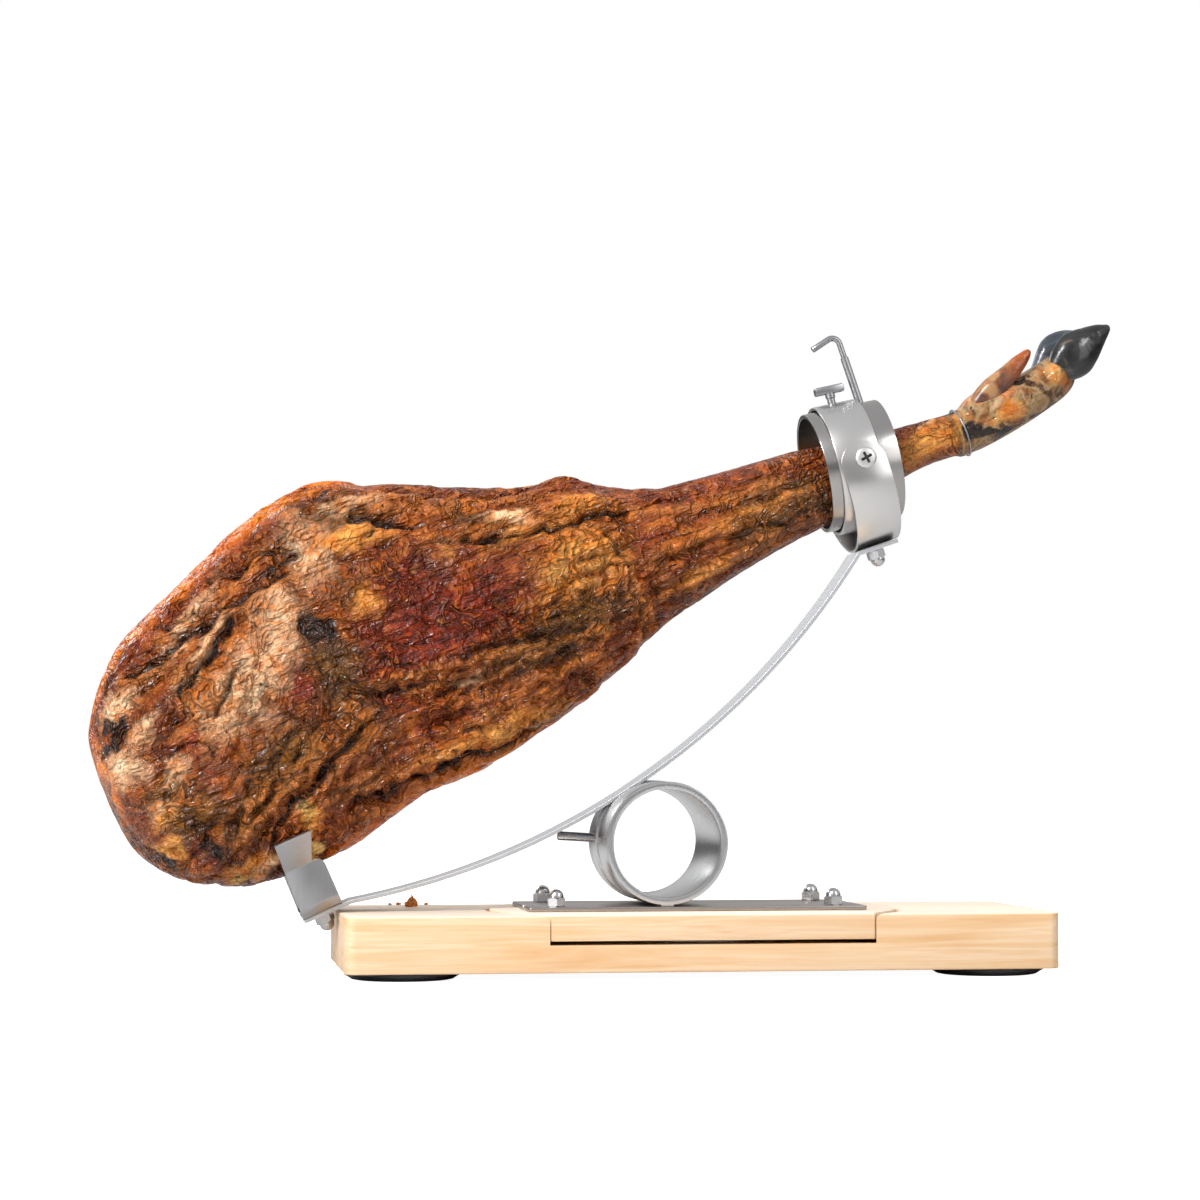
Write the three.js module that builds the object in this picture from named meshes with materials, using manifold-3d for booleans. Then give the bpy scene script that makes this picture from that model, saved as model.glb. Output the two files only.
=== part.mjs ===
// Cured ham, hoof on, held in its steel carving stand on a wooden board.
// Millimetres, +Z up. +X runs along the board towards the hoof, and the ham's inner side faces
// -Y. X is laid out from the middle of the turntable; at the end the whole part is moved along X
// so that its origin is under the middle of its bounding box, on the surface that it stands on.
import * as THREE from 'three';
import { mergeVertices } from 'three/addons/utils/BufferGeometryUtils.js';
import Module from 'manifold-3d';

const wasm = await Module();
wasm.setup();

// Smallest gap left between two separate pieces.
const GAP = 0.3;

// Wooden board and its pads.
const BOARD_LEFT = -271;
const BOARD_RIGHT = 272;
const BOARD_DEPTH = 200;
const BOARD_THICKNESS = 42.5;
const BOARD_CORNER = 11;
const BOARD_EDGE = 1;
const PAD_HEIGHT = 6;
const PAD_RADIUS = 44;
const PAD_FOOT_RADIUS = 37;
const PAD_INSET = { x: 46, y: 48 };
const BOARD_TOP = PAD_HEIGHT + BOARD_THICKNESS;

// Turntable let into the board: a round disc with its front and rear cut off flush.
const PIVOT_X = 4.7;
const POCKET_RADIUS = 159.1;
const POCKET_DEPTH = 22;
const DISC_RADIUS = 157.9;
const DISC_STANDS_PROUD = 1.2;
const DISC_SLOT = 3;
const DISC_TOP = BOARD_TOP + DISC_STANDS_PROUD;
const POCKET_FLOOR = BOARD_TOP - POCKET_DEPTH;
const BEARING = { outer: 76, inner: 52 };

// Steel plate on the turntable with its four cap nuts.
const PLATE = { left: -131, right: 129, front: -67, rear: 46, thickness: 3.2, notch: 5 };
const PLATE_BOTTOM = DISC_TOP + GAP;
const PLATE_TOP = PLATE_BOTTOM + PLATE.thickness;
const NUT_SPREAD = { x: 107, y: 42 };
const NUT_MIDDLE = { x: -2, y: -14 };

// M8 cap nut: hexagon, collar and dome.
const CAP_NUT = { acrossFlats: 13, hexHeight: 6.6, domeRadius: 5.7, height: 13 };

// Fixed tube that the arm turns on. Its axis runs along Y.
const TUBE = { x: -25.4, z: 101, outer: 46.7, inner: 41, sleeve: 42.6, front: -67, rear: 46 };
const RIM_REAR = -21.5;
const SPACER_REAR = -10.5;
const COLLAR = { outer: 47.3, rear: 28, flat: 44.25 };
const SPACER_OUTER = 44;
const WELD_FOOT = { width: 9.6, depth: 44 };

// Lock pin screwed into the collar.
const LOCK_PIN = { radius: 3.5, end: 74.6, y: 8, tilt: 0.06 };

// Flat bar that carries the ham: an arc with a straight tab at each end.
const BAR = { width: 40, thickness: 3, radius: 599, centreX: -370.9, centreZ: 643.9 };
// Slope of the bar where it passes the tube.
const BAR_AT_TUBE = Math.atan2(TUBE.x - BAR.centreX, BAR.centreZ - TUBE.z);
const BAR_STEPS = 26;
const CRADLE_SLOPE = THREE.MathUtils.degToRad(24);
const CRADLE_AT = { x: -282.6, z: 47.6 };
const CRADLE_TAB = 15.5;
const HEAD_TAB = 14.5;

// Bent steel cradle under the butt.
const CRADLE = { length: 32, half: 34, thickness: 2.5, bend: 9, leg: 39.5, flare: 21.8, lean: 0.62 };
// How far the tops of the flanges stand to the right of the legs.
const FLANGE_SHIFT = 2;

// Head: a ring round the shank in a band, hung in a bent strap.
const HEAD_AT = { x: 132.6, z: 396.3 };
const HEAD_TILT = THREE.MathUtils.degToRad(12.7);
const RING = { outer: 47.5, inner: 44.6, half: 29.7 };
const BAND = { outer: 51.5, inner: 49.2, left: -21, right: 13 };
// The strap hangs on its two screws a little more tilted than the ring.
const YOKE_LIFT = 1.5;
const YOKE_TILT = THREE.MathUtils.degToRad(18.8);
const YOKE = { width: 36.4, inner: 53.2, thickness: 2.4, drop: 11.6, shift: -2.3 };
const YOKE_BOTTOM = YOKE.drop + YOKE.inner + YOKE.thickness;
const PIVOT_SCREW = { radius: 8.2, dome: 3.2, shank: 3.2 };
const YOKE_NUT_X = -3.5;
const THUMB_SCREW = { at: -3.6, stem: 3.2, rise: 8.5, head: 23.6, headWidth: 9, headHeight: 5.8 };
const ROD_LEAN = THREE.MathUtils.degToRad(6.2);
const ROD_TURN = THREE.MathUtils.degToRad(105);
const CLAMP_ROD = { at: 18.4, radius: 2.4, sleeve: 3.2, low: -22, sleeveTop: 38, top: 58, arm: 15.5 };

// Ham. P runs along the ham from the butt to the hoof, Q across it, Y through it.
const HAM_ORIGIN = { x: -26, z: 250 };
const HAM_TILT = THREE.MathUtils.degToRad(22);
// Along, upper edge, lower edge, half thickness towards the front, and towards the back.
const HAM_SECTIONS = [
  [-434, 62, 46, 4, 5],
  [-431, 93, 15, 19, 22],
  [-424, 110, -4, 32, 37],
  [-408, 132, -24, 45, 51],
  [-385, 153.5, -40, 54, 60],
  [-355, 168, -52, 60, 66],
  [-320, 182.5, -54.5, 63, 70],
  [-285, 199.5, -54.5, 64, 72],
  [-250, 210.5, -47, 64, 72],
  [-205, 217.5, -38, 63, 71],
  [-180, 211.5, -37.5, 61, 69],
  [-155, 199, -37, 58, 66],
  [-115, 181.5, -28.5, 53, 61],
  [-75, 165, -19.5, 48, 55],
  [-40, 153.5, -8, 44, 50],
  [-16, 152, 1, 41, 46],
  [12, 132, 13.5, 38, 41],
  [50, 117, 22, 34, 36],
  [90, 111.5, 30, 31, 32],
  [130, 107.5, 36, 28, 29],
  [165, 104, 39, 27, 27],
  [205, 97, 46.5, 23, 23],
  [250, 91, 53, 17, 17],
  [281, 87.8, 52.5, 16, 16],
  [289, 87, 49.8, 17.6, 17.6],
  [295, 86.8, 50.2, 16.5, 16.5],
  [301, 88.4, 49.8, 18.2, 18.2],
  [310, 93, 50, 18.5, 18.5],
  [328, 96.5, 52, 18.5, 18.5],
  [350, 94.5, 55.5, 18, 18],
  [373, 97.5, 60.5, 17.5, 17.5],
  [388, 100, 65, 15, 15],
  [398, 97, 72, 9, 9],
  [402, 90, 83, 3, 3],
];
const HAM_STEPS = 2;
const HAM_SIDES = 34;
// Lump of fat pressed down into the cradle.
const HEEL = { p: -312, q: -48, alongRadius: 13.5, downRadius: 43, throughRadius: 33 };
// Hoof: two toes and two dewclaws, each a row of along, across, through and radius.
const NEAR_TOE = [
  [370, 80, -8, 11], [384, 84.5, -9, 15], [398, 90.5, -9.5, 18], [410, 93.8, -9.5, 17],
  [422, 98, -9.5, 13], [433, 101, -9, 8], [440.5, 103, -8.5, 2.8],
];
const FAR_TOE = [
  [372, 86, 8, 6], [382, 92, 9, 11], [393, 98.5, 10, 14], [404, 100.3, 10.5, 13],
  [415, 101.5, 10.5, 9.5], [424, 103, 10, 3],
];
const NEAR_CLAW = [
  [318, 83, -9, 10], [334, 91.5, -11, 9.5], [350, 98.5, -12, 8], [361, 104, -12.5, 6.2],
  [367.5, 108, -12.5, 2.6],
];
const FAR_CLAW = [[326, 82, 9, 9], [342, 89, 12, 8], [354, 94.5, 13, 6.5], [363, 98.5, 13.5, 2.5]];
const TOE_SIDES = 14;
// Wire loop left round the ankle.
const TIE = { p: 295, q: 68.5, across: 20.1, through: 18.4, wire: 0.8 };

const STEEL = { colour: 0xb9babb, roughness: 0.32, metalness: 1 };
const POLISHED = { colour: 0xc9cacc, roughness: 0.2, metalness: 1 };
const WOOD = { colour: 0xe9cf9f, roughness: 0.55, metalness: 0 };
const RUBBER = { colour: 0x1d1d1f, roughness: 0.8, metalness: 0 };
const MEAT = { colour: 0x8a4a22, roughness: 0.4, metalness: 0 };

function material(look) {
  return new THREE.MeshStandardMaterial({
    color: look.colour,
    roughness: look.roughness,
    metalness: look.metalness,
  });
}

// Closed solid from a geometry, with its faces turned outwards.
function solid(geometry) {
  const bare = geometry.index ? geometry.toNonIndexed() : geometry.clone();
  bare.deleteAttribute('normal');
  bare.deleteAttribute('uv');
  const merged = mergeVertices(bare, 1e-3);
  const points = merged.getAttribute('position');
  const index = Array.from(merged.index.array);
  const kept = [];
  let volume = 0;
  const a = new THREE.Vector3();
  const b = new THREE.Vector3();
  const c = new THREE.Vector3();
  for (let i = 0; i < index.length; i += 3) {
    const [i0, i1, i2] = index.slice(i, i + 3);
    if (i0 === i1 || i1 === i2 || i2 === i0) continue;
    kept.push(i0, i1, i2);
    a.fromBufferAttribute(points, i0);
    b.fromBufferAttribute(points, i1);
    c.fromBufferAttribute(points, i2);
    volume += a.dot(b.cross(c));
  }
  if (volume < 0) kept.reverse();
  const vertProperties = new Float32Array(points.array);
  const triVerts = new Uint32Array(kept);
  return new wasm.Manifold(new wasm.Mesh({ numProp: 3, vertProperties, triVerts }));
}

function toGeometry(manifold) {
  const mesh = manifold.getMesh();
  const geometry = new THREE.BufferGeometry();
  geometry.setAttribute('position', new THREE.BufferAttribute(mesh.vertProperties, 3));
  geometry.setIndex(new THREE.BufferAttribute(mesh.triVerts, 1));
  geometry.computeVertexNormals();
  return geometry;
}

function piece(name, shape, look) {
  const mesh = new THREE.Mesh(toGeometry(shape), material(look));
  mesh.name = name;
  return mesh;
}

// Turned shape round Y from [radius, height] pairs that start and end on the axis.
function turned(profile, sides) {
  const points = profile.map(([radius, height]) => new THREE.Vector2(radius, height));
  return new THREE.LatheGeometry(points, sides);
}

// Ring round Y from a closed [radius, height] outline.
function ring(profile, sides) {
  return turned([...profile, profile[0]], sides);
}

function outlineShape(points) {
  return new THREE.Shape(points.map(([x, y]) => new THREE.Vector2(x, y)));
}

// Outline in X and Z, pushed through from Y = from to Y = to.
function throughY(shape, from, to, curveSegments = 16) {
  const geometry = new THREE.ExtrudeGeometry(shape, {
    depth: to - from,
    bevelEnabled: false,
    curveSegments,
  });
  geometry.rotateX(Math.PI / 2);
  geometry.translate(0, to, 0);
  return geometry;
}

function roundedRectangle(width, height, radius) {
  const x = width / 2;
  const y = height / 2;
  const shape = new THREE.Shape();
  shape.moveTo(-x + radius, -y);
  shape.lineTo(x - radius, -y);
  shape.absarc(x - radius, -y + radius, radius, -Math.PI / 2, 0);
  shape.lineTo(x, y - radius);
  shape.absarc(x - radius, y - radius, radius, 0, Math.PI / 2);
  shape.lineTo(-x + radius, y);
  shape.absarc(-x + radius, y - radius, radius, Math.PI / 2, Math.PI);
  shape.lineTo(-x, -y + radius);
  shape.absarc(-x + radius, -y + radius, radius, Math.PI, Math.PI * 1.5);
  return shape;
}

function box(x0, x1, y0, y1, z0, z1) {
  const geometry = new THREE.BoxGeometry(x1 - x0, y1 - y0, z1 - z0);
  geometry.translate((x0 + x1) / 2, (y0 + y1) / 2, (z0 + z1) / 2);
  return geometry;
}

// Upright round stock.
function upright(radius, z0, z1, sides) {
  const geometry = new THREE.CylinderGeometry(radius, radius, z1 - z0, sides);
  geometry.rotateX(Math.PI / 2);
  geometry.translate(0, 0, (z0 + z1) / 2);
  return geometry;
}

// Board with its corners rounded and the turntable's pocket cut out of the top.
function boardShape() {
  const length = BOARD_RIGHT - BOARD_LEFT;
  const geometry = new THREE.ExtrudeGeometry(
    roundedRectangle(length - 2 * BOARD_EDGE, BOARD_DEPTH - 2 * BOARD_EDGE, BOARD_CORNER),
    {
      depth: BOARD_THICKNESS - 2 * BOARD_EDGE,
      bevelThickness: BOARD_EDGE,
      bevelSize: BOARD_EDGE,
      bevelSegments: 1,
      curveSegments: 5,
    },
  );
  geometry.translate((BOARD_LEFT + BOARD_RIGHT) / 2, 0, PAD_HEIGHT + BOARD_EDGE);
  const pocket = upright(POCKET_RADIUS, POCKET_FLOOR, BOARD_TOP + 1, 72);
  pocket.translate(PIVOT_X, 0, 0);
  return solid(geometry).subtract(solid(pocket));
}

function padShape() {
  const geometry = turned([
    [0, 0],
    [PAD_FOOT_RADIUS, 0],
    [PAD_RADIUS - 1.5, PAD_HEIGHT * 0.45],
    [PAD_RADIUS, PAD_HEIGHT - GAP],
    [0, PAD_HEIGHT - GAP],
  ], 28);
  geometry.rotateX(Math.PI / 2);
  return geometry;
}

// Low steel race that fills most of the slot under the disc.
function bearingShape() {
  const low = POCKET_FLOOR + GAP;
  const high = POCKET_FLOOR + DISC_SLOT - GAP;
  const geometry = ring([
    [BEARING.inner, low], [BEARING.outer, low], [BEARING.outer, high], [BEARING.inner, high],
  ], 32);
  geometry.rotateX(Math.PI / 2);
  geometry.translate(PIVOT_X, 0, 0);
  return geometry;
}

function discShape() {
  const disc = turned([
    [0, POCKET_FLOOR + DISC_SLOT],
    [DISC_RADIUS, POCKET_FLOOR + DISC_SLOT],
    [DISC_RADIUS, DISC_TOP - BOARD_EDGE],
    [DISC_RADIUS - BOARD_EDGE, DISC_TOP],
    [0, DISC_TOP],
  ], 72);
  disc.rotateX(Math.PI / 2);
  disc.translate(PIVOT_X, 0, 0);
  const reach = 2 * DISC_RADIUS;
  const flush = box(-reach, reach, -BOARD_DEPTH / 2, BOARD_DEPTH / 2, 0, BOARD_TOP * 2);
  return solid(disc).intersect(solid(flush));
}

// Plate with the small notch at its left end.
function plateShape() {
  const chamfer = 1.5;
  const notchFrom = PLATE.front + 34;
  const shape = outlineShape([
    [PLATE.left + chamfer, PLATE.front],
    [PLATE.right - chamfer, PLATE.front],
    [PLATE.right, PLATE.front + chamfer],
    [PLATE.right, PLATE.rear - chamfer],
    [PLATE.right - chamfer, PLATE.rear],
    [PLATE.left + chamfer, PLATE.rear],
    [PLATE.left, PLATE.rear - chamfer],
    [PLATE.left, notchFrom + 2 * PLATE.notch],
    [PLATE.left + PLATE.notch, notchFrom + 1.5 * PLATE.notch],
    [PLATE.left + PLATE.notch, notchFrom + 0.5 * PLATE.notch],
    [PLATE.left, notchFrom],
    [PLATE.left, PLATE.front + chamfer],
  ]);
  const geometry = new THREE.ExtrudeGeometry(shape, { depth: PLATE.thickness, bevelEnabled: false });
  geometry.translate(0, 0, PLATE_BOTTOM);
  return geometry;
}

// Cap nut standing on Z = 0: a hexagon cut by a cone at its top, and a dome.
function capNutShape() {
  const corner = CAP_NUT.acrossFlats / Math.sqrt(3);
  const hex = upright(corner, 0, CAP_NUT.hexHeight, 6);
  const round = turned([
    [0, -1],
    [corner, -1],
    [corner, CAP_NUT.hexHeight - 1],
    [corner - 1.2, CAP_NUT.hexHeight],
    [0, CAP_NUT.hexHeight],
  ], 18);
  round.rotateX(Math.PI / 2);
  const wall = CAP_NUT.height - CAP_NUT.domeRadius;
  const dome = [[0, 1], [CAP_NUT.domeRadius, 1], [CAP_NUT.domeRadius, wall]];
  const domeSteps = 3;
  for (let i = 1; i < domeSteps; i += 1) {
    const angle = (i / domeSteps) * Math.PI / 2;
    dome.push([CAP_NUT.domeRadius * Math.cos(angle), wall + CAP_NUT.domeRadius * Math.sin(angle)]);
  }
  dome.push([0, CAP_NUT.height]);
  const top = turned(dome, 14);
  top.rotateX(Math.PI / 2);
  return solid(hex).intersect(solid(round)).add(solid(top));
}

// Fixed tube: a thick front rim, a thinner sleeve behind it and a weld foot below.
function tubeShape() {
  const tube = ring([
    [TUBE.inner, TUBE.front + 1],
    [TUBE.inner + 1, TUBE.front],
    [TUBE.outer - 1, TUBE.front],
    [TUBE.outer, TUBE.front + 1],
    [TUBE.outer, RIM_REAR],
    [TUBE.sleeve, RIM_REAR],
    [TUBE.sleeve, TUBE.rear],
    [TUBE.inner, TUBE.rear],
  ], 40);
  tube.translate(TUBE.x, 0, TUBE.z);
  const half = WELD_FOOT.width / 2;
  const footTop = TUBE.z - TUBE.outer + 2;
  const foot = box(
    TUBE.x - half,
    TUBE.x + half,
    TUBE.front + 0.5,
    TUBE.front + 0.5 + WELD_FOOT.depth,
    PLATE_TOP + GAP,
    footTop,
  );
  return solid(tube).add(solid(foot));
}

function bandRound(inner, outer, y0, y1, edge, sides) {
  const geometry = ring([
    [inner, y0],
    [outer - edge, y0],
    [outer, y0 + edge],
    [outer, y1 - edge],
    [outer - edge, y1],
    [inner, y1],
  ], sides);
  return geometry;
}

function spacerShape() {
  const geometry = ring([
    [TUBE.sleeve + GAP, RIM_REAR + GAP],
    [SPACER_OUTER, RIM_REAR + GAP],
    [SPACER_OUTER, SPACER_REAR],
    [TUBE.sleeve + GAP, SPACER_REAR],
  ], 36);
  geometry.translate(TUBE.x, 0, TUBE.z);
  return geometry;
}

function lockPinGeometry(radius, from, to) {
  const geometry = new THREE.CylinderGeometry(radius, radius, to - from, 18);
  geometry.rotateZ(Math.PI / 2);
  geometry.translate(-(from + to) / 2, 0, 0);
  geometry.rotateY(LOCK_PIN.tilt);
  geometry.translate(TUBE.x, LOCK_PIN.y, TUBE.z);
  return geometry;
}

// Collar that turns on the sleeve, drilled for the lock pin and cut flat where the bar is welded.
function collarShape() {
  const collar = bandRound(TUBE.sleeve + GAP, COLLAR.outer, SPACER_REAR + GAP, COLLAR.rear, 0.6, 40);
  collar.translate(TUBE.x, 0, TUBE.z);
  const drill = lockPinGeometry(LOCK_PIN.radius + GAP, TUBE.sleeve - 2, COLLAR.outer + 2);
  const seat = box(-COLLAR.outer, COLLAR.outer, -COLLAR.rear * 2, COLLAR.rear * 2, 0, COLLAR.outer);
  seat.translate(0, 0, COLLAR.flat);
  seat.rotateY(-BAR_AT_TUBE);
  seat.translate(TUBE.x, 0, TUBE.z);
  return solid(collar).subtract(solid(drill)).subtract(solid(seat));
}

// Side view of the bar's middle line: cradle tab, arc and head tab. The arc ends where it
// meets the line of the head tab.
function barLine() {
  const middle = BAR.radius - BAR.thickness / 2;
  const along = (from, distance, slope) => [
    from[0] + distance * Math.cos(slope),
    from[1] + distance * Math.sin(slope),
  ];
  const tabMiddle = yokePoint(YOKE.shift, -(YOKE_BOTTOM + GAP + BAR.thickness / 2));
  const fromCentre = [tabMiddle[0] - BAR.centreX, tabMiddle[1] - BAR.centreZ];
  const half = fromCentre[0] * Math.cos(YOKE_TILT) + fromCentre[1] * Math.sin(YOKE_TILT);
  const rest = fromCentre[0] ** 2 + fromCentre[1] ** 2 - middle ** 2;
  const corner = along(tabMiddle, -half + Math.sqrt(half * half - rest), YOKE_TILT);
  const low = THREE.MathUtils.degToRad(10.6);
  const high = Math.atan2(corner[0] - BAR.centreX, BAR.centreZ - corner[1]);
  const cradleMiddle = [CRADLE_AT.x, CRADLE_AT.z];
  const points = [
    along(cradleMiddle, -CRADLE_TAB, CRADLE_SLOPE),
    along(cradleMiddle, CRADLE_TAB * 0.8, CRADLE_SLOPE),
  ];
  for (let i = 0; i <= BAR_STEPS; i += 1) {
    const angle = low + (high - low) * (i / BAR_STEPS);
    points.push([
      BAR.centreX + middle * Math.sin(angle),
      BAR.centreZ - middle * Math.cos(angle),
    ]);
  }
  points.push(along(tabMiddle, HEAD_TAB, YOKE_TILT));
  return points;
}

// Strip round a middle line, as an outline in X and Z: so far to its left and to its right.
function stripOutline(line, toLeft, toRight) {
  const left = [];
  const right = [];
  for (let i = 0; i < line.length; i += 1) {
    const before = line[Math.max(i - 1, 0)];
    const after = line[Math.min(i + 1, line.length - 1)];
    const inX = line[i][0] - before[0];
    const inZ = line[i][1] - before[1];
    const outX = after[0] - line[i][0];
    const outZ = after[1] - line[i][1];
    const inLength = Math.hypot(inX, inZ) || 1;
    const outLength = Math.hypot(outX, outZ) || 1;
    const dx = inX / inLength + outX / outLength;
    const dz = inZ / inLength + outZ / outLength;
    const length = Math.hypot(dx, dz);
    const turn = (inLength > 1 && outLength > 1 && i > 0 && i < line.length - 1) ? length / 2 : 1;
    const normal = [-dz / length / turn, dx / length / turn];
    left.push([line[i][0] + normal[0] * toLeft, line[i][1] + normal[1] * toLeft]);
    right.push([line[i][0] - normal[0] * toRight, line[i][1] - normal[1] * toRight]);
  }
  return [...right, ...left.reverse()];
}

function barShape() {
  const outline = stripOutline(barLine(), BAR.thickness / 2, BAR.thickness / 2);
  return throughY(outlineShape(outline), -BAR.width / 2, BAR.width / 2);
}

// Point of the yoke's own frame, in X and Z. That frame has its origin on the pivot screws.
function yokePoint(x, z) {
  return [
    HEAD_AT.x - YOKE_LIFT * Math.sin(HEAD_TILT) + x * Math.cos(YOKE_TILT) - z * Math.sin(YOKE_TILT),
    HEAD_AT.z + YOKE_LIFT * Math.cos(HEAD_TILT) + x * Math.sin(YOKE_TILT) + z * Math.cos(YOKE_TILT),
  ];
}

// Middle line of the cradle's bent strip, in Y and Z, from one flange to the other.
function cradleLine() {
  const bendSteps = 5;
  const middle = CRADLE.half - CRADLE.thickness / 2;
  const bendRadius = CRADLE.bend - CRADLE.thickness / 2;
  const side = [];
  for (let i = 0; i <= bendSteps; i += 1) {
    const angle = (i / bendSteps) * Math.PI / 2;
    side.push([
      middle - bendRadius + bendRadius * Math.sin(angle),
      CRADLE.thickness / 2 + bendRadius - bendRadius * Math.cos(angle),
    ]);
  }
  side.push([middle, CRADLE.leg]);
  side.push([middle + CRADLE.flare * Math.tan(CRADLE.lean), CRADLE.leg + CRADLE.flare]);
  const mirrored = side.map(([y, z]) => [-y, z]).reverse();
  return [...mirrored, ...side];
}

// Outline in Y and Z pushed along X, its middle at X = 0.
function alongX(outline, length) {
  const geometry = new THREE.ExtrudeGeometry(outlineShape(outline), {
    depth: length,
    bevelEnabled: false,
  });
  geometry.rotateX(Math.PI / 2);
  geometry.rotateZ(Math.PI / 2);
  geometry.translate(-length / 2, 0, 0);
  return geometry;
}

// Cradle in its own frame: X along the tab, Z away from it. Seen from the side it has full
// width legs with one rounded corner, then flanges that widen to their tops.
function cradleShape() {
  const wall = CRADLE.thickness / 2;
  const strip = alongX(stripOutline(cradleLine(), wall, wall), CRADLE.length + 2 * FLANGE_SHIFT);
  const half = CRADLE.length / 2;
  const round = 7;
  const neck = CRADLE.length * 0.26;
  const top = CRADLE.leg + CRADLE.flare + 4;
  const outline = outlineShape([
    [-half, -1],
    [half, -1],
    [half, CRADLE.leg - round],
    [half - round * 0.3, CRADLE.leg - round * 0.3],
    [half - round, CRADLE.leg],
    [half - neck, CRADLE.leg],
    [half + FLANGE_SHIFT, top],
    [-half + FLANGE_SHIFT, top],
  ]);
  const reach = 3 * CRADLE.half;
  return solid(strip).intersect(solid(throughY(outline, -reach, reach)));
}

// Room that the cradle presses out of the ham, in the cradle's frame.
function cradleRoom() {
  const outward = 40;
  const outline = stripOutline(cradleLine(), CRADLE.thickness / 2 + 2 * GAP, outward);
  return alongX(outline, CRADLE.length + 2 * FLANGE_SHIFT + 2);
}

// Ring or band round the head's own X axis.
function headRound(inner, outer, left, right) {
  const geometry = bandRound(inner, outer, left, right, 0.5, 40);
  geometry.rotateZ(-Math.PI / 2);
  return geometry;
}

// Hole drilled down through the head's wall for the thumb screw.
function thumbDrill() {
  const geometry = upright(THUMB_SCREW.stem + GAP, RING.inner - 4, BAND.outer + 4, 20);
  geometry.translate(THUMB_SCREW.at, 0, 0);
  return solid(geometry);
}

// Puts a shape made round the clamp rod's own axis in its place in the head.
function leanWithRod(geometry) {
  geometry.rotateY(-ROD_LEAN);
  geometry.translate(CLAMP_ROD.at, 0, RING.outer);
  return solid(geometry);
}

function headRingShape() {
  const drill = upright(CLAMP_ROD.sleeve + GAP, -9, 9, 20);
  return solid(headRound(RING.inner, RING.outer, -RING.half, RING.half))
    .subtract(leanWithRod(drill))
    .subtract(thumbDrill());
}

function headBandShape() {
  let shape = solid(headRound(BAND.inner, BAND.outer, BAND.left, BAND.right));
  shape = shape.subtract(thumbDrill());
  shape = shape.subtract(leanWithRod(upright(CLAMP_ROD.sleeve + GAP, -4, 9, 20)));
  for (const side of [-1, 1]) {
    const hole = new THREE.CylinderGeometry(PIVOT_SCREW.shank + GAP, PIVOT_SCREW.shank + GAP, 12, 16);
    hole.translate(0, side * BAND.inner, YOKE_LIFT);
    shape = shape.subtract(solid(hole));
  }
  return shape;
}

// Strap in the yoke's frame: a U in Y and Z with two round ends drilled for the pivot screws.
function yokeShape() {
  const half = YOKE.inner + YOKE.thickness / 2;
  const lug = 14;
  const steps = 14;
  const line = [[half, lug + 2]];
  for (let i = 0; i <= steps; i += 1) {
    const angle = (i / steps) * Math.PI;
    line.push([half * Math.cos(angle), -YOKE.drop - half * Math.sin(angle)]);
  }
  line.push([-half, lug + 2]);
  const wall = YOKE.thickness / 2;
  const strip = alongX(stripOutline(line, wall, wall), YOKE.width);
  const x = YOKE.width / 2;
  const round = new THREE.Shape();
  round.moveTo(-x, -YOKE_BOTTOM - 5);
  round.lineTo(x, -YOKE_BOTTOM - 5);
  round.lineTo(x, lug - x);
  round.absarc(0, lug - x, x, 0, Math.PI);
  const cut = throughY(round, -2 * half, 2 * half, 16);
  const holeRadius = PIVOT_SCREW.shank + GAP;
  const hole = new THREE.CylinderGeometry(holeRadius, holeRadius, 4 * half, 16);
  hole.translate(-YOKE.shift, 0, 0);
  return solid(strip).intersect(solid(cut)).subtract(solid(hole)).translate(YOKE.shift, 0, 0);
}

// Domed screw with a cross recess, its head standing outwards along -Y.
function pivotScrewShape() {
  const { radius, dome, shank } = PIVOT_SCREW;
  const seat = -(YOKE.inner + YOKE.thickness + GAP);
  const profile = [[0, seat - dome]];
  const steps = 4;
  for (let i = 1; i <= steps; i += 1) {
    const angle = (i / steps) * Math.PI / 2;
    profile.push([radius * Math.sin(angle), seat - dome * Math.cos(angle)]);
  }
  profile.push([shank, seat]);
  profile.push([shank, -(RING.outer + 2 * GAP)]);
  profile.push([0, -(RING.outer + 2 * GAP)]);
  const body = solid(turned(profile, 18));
  const slotLength = radius * 0.95;
  const slotHalf = 0.75;
  const deep = seat - dome * 0.35;
  const across = solid(box(-slotLength / 2, slotLength / 2, seat - 2 * dome, deep, -slotHalf, slotHalf));
  const down = solid(box(-slotHalf, slotHalf, seat - 2 * dome, deep, -slotLength / 2, slotLength / 2));
  return body.subtract(across).subtract(down);
}

// Thumb screw: a bar head with bevelled ends on a short stem.
function thumbScrewShape() {
  const seat = RING.outer + GAP;
  const { stem, rise, head, headWidth, headHeight } = THUMB_SCREW;
  const rod = solid(upright(stem, RING.inner, BAND.outer + rise + 1, 20));
  const half = head / 2;
  const low = BAND.outer + rise;
  const outline = outlineShape([
    [-half, low + 1.4],
    [-half + 1.4, low],
    [half - 1.4, low],
    [half, low + 1.4],
    [half, low + headHeight - 2.4],
    [half - 1.2, low + headHeight - 0.6],
    [half * 0.35, low + headHeight],
    [-half * 0.35, low + headHeight],
    [-half + 1.2, low + headHeight - 0.6],
    [-half, low + headHeight - 2.4],
  ]);
  const bar = solid(throughY(outline, -headWidth / 2, headWidth / 2));
  const shape = rod.add(bar);
  const clear = solid(box(-stem * 2, stem * 2, -stem * 2, stem * 2, 0, seat - RING.outer + RING.inner + 1));
  return shape.subtract(clear);
}

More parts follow.
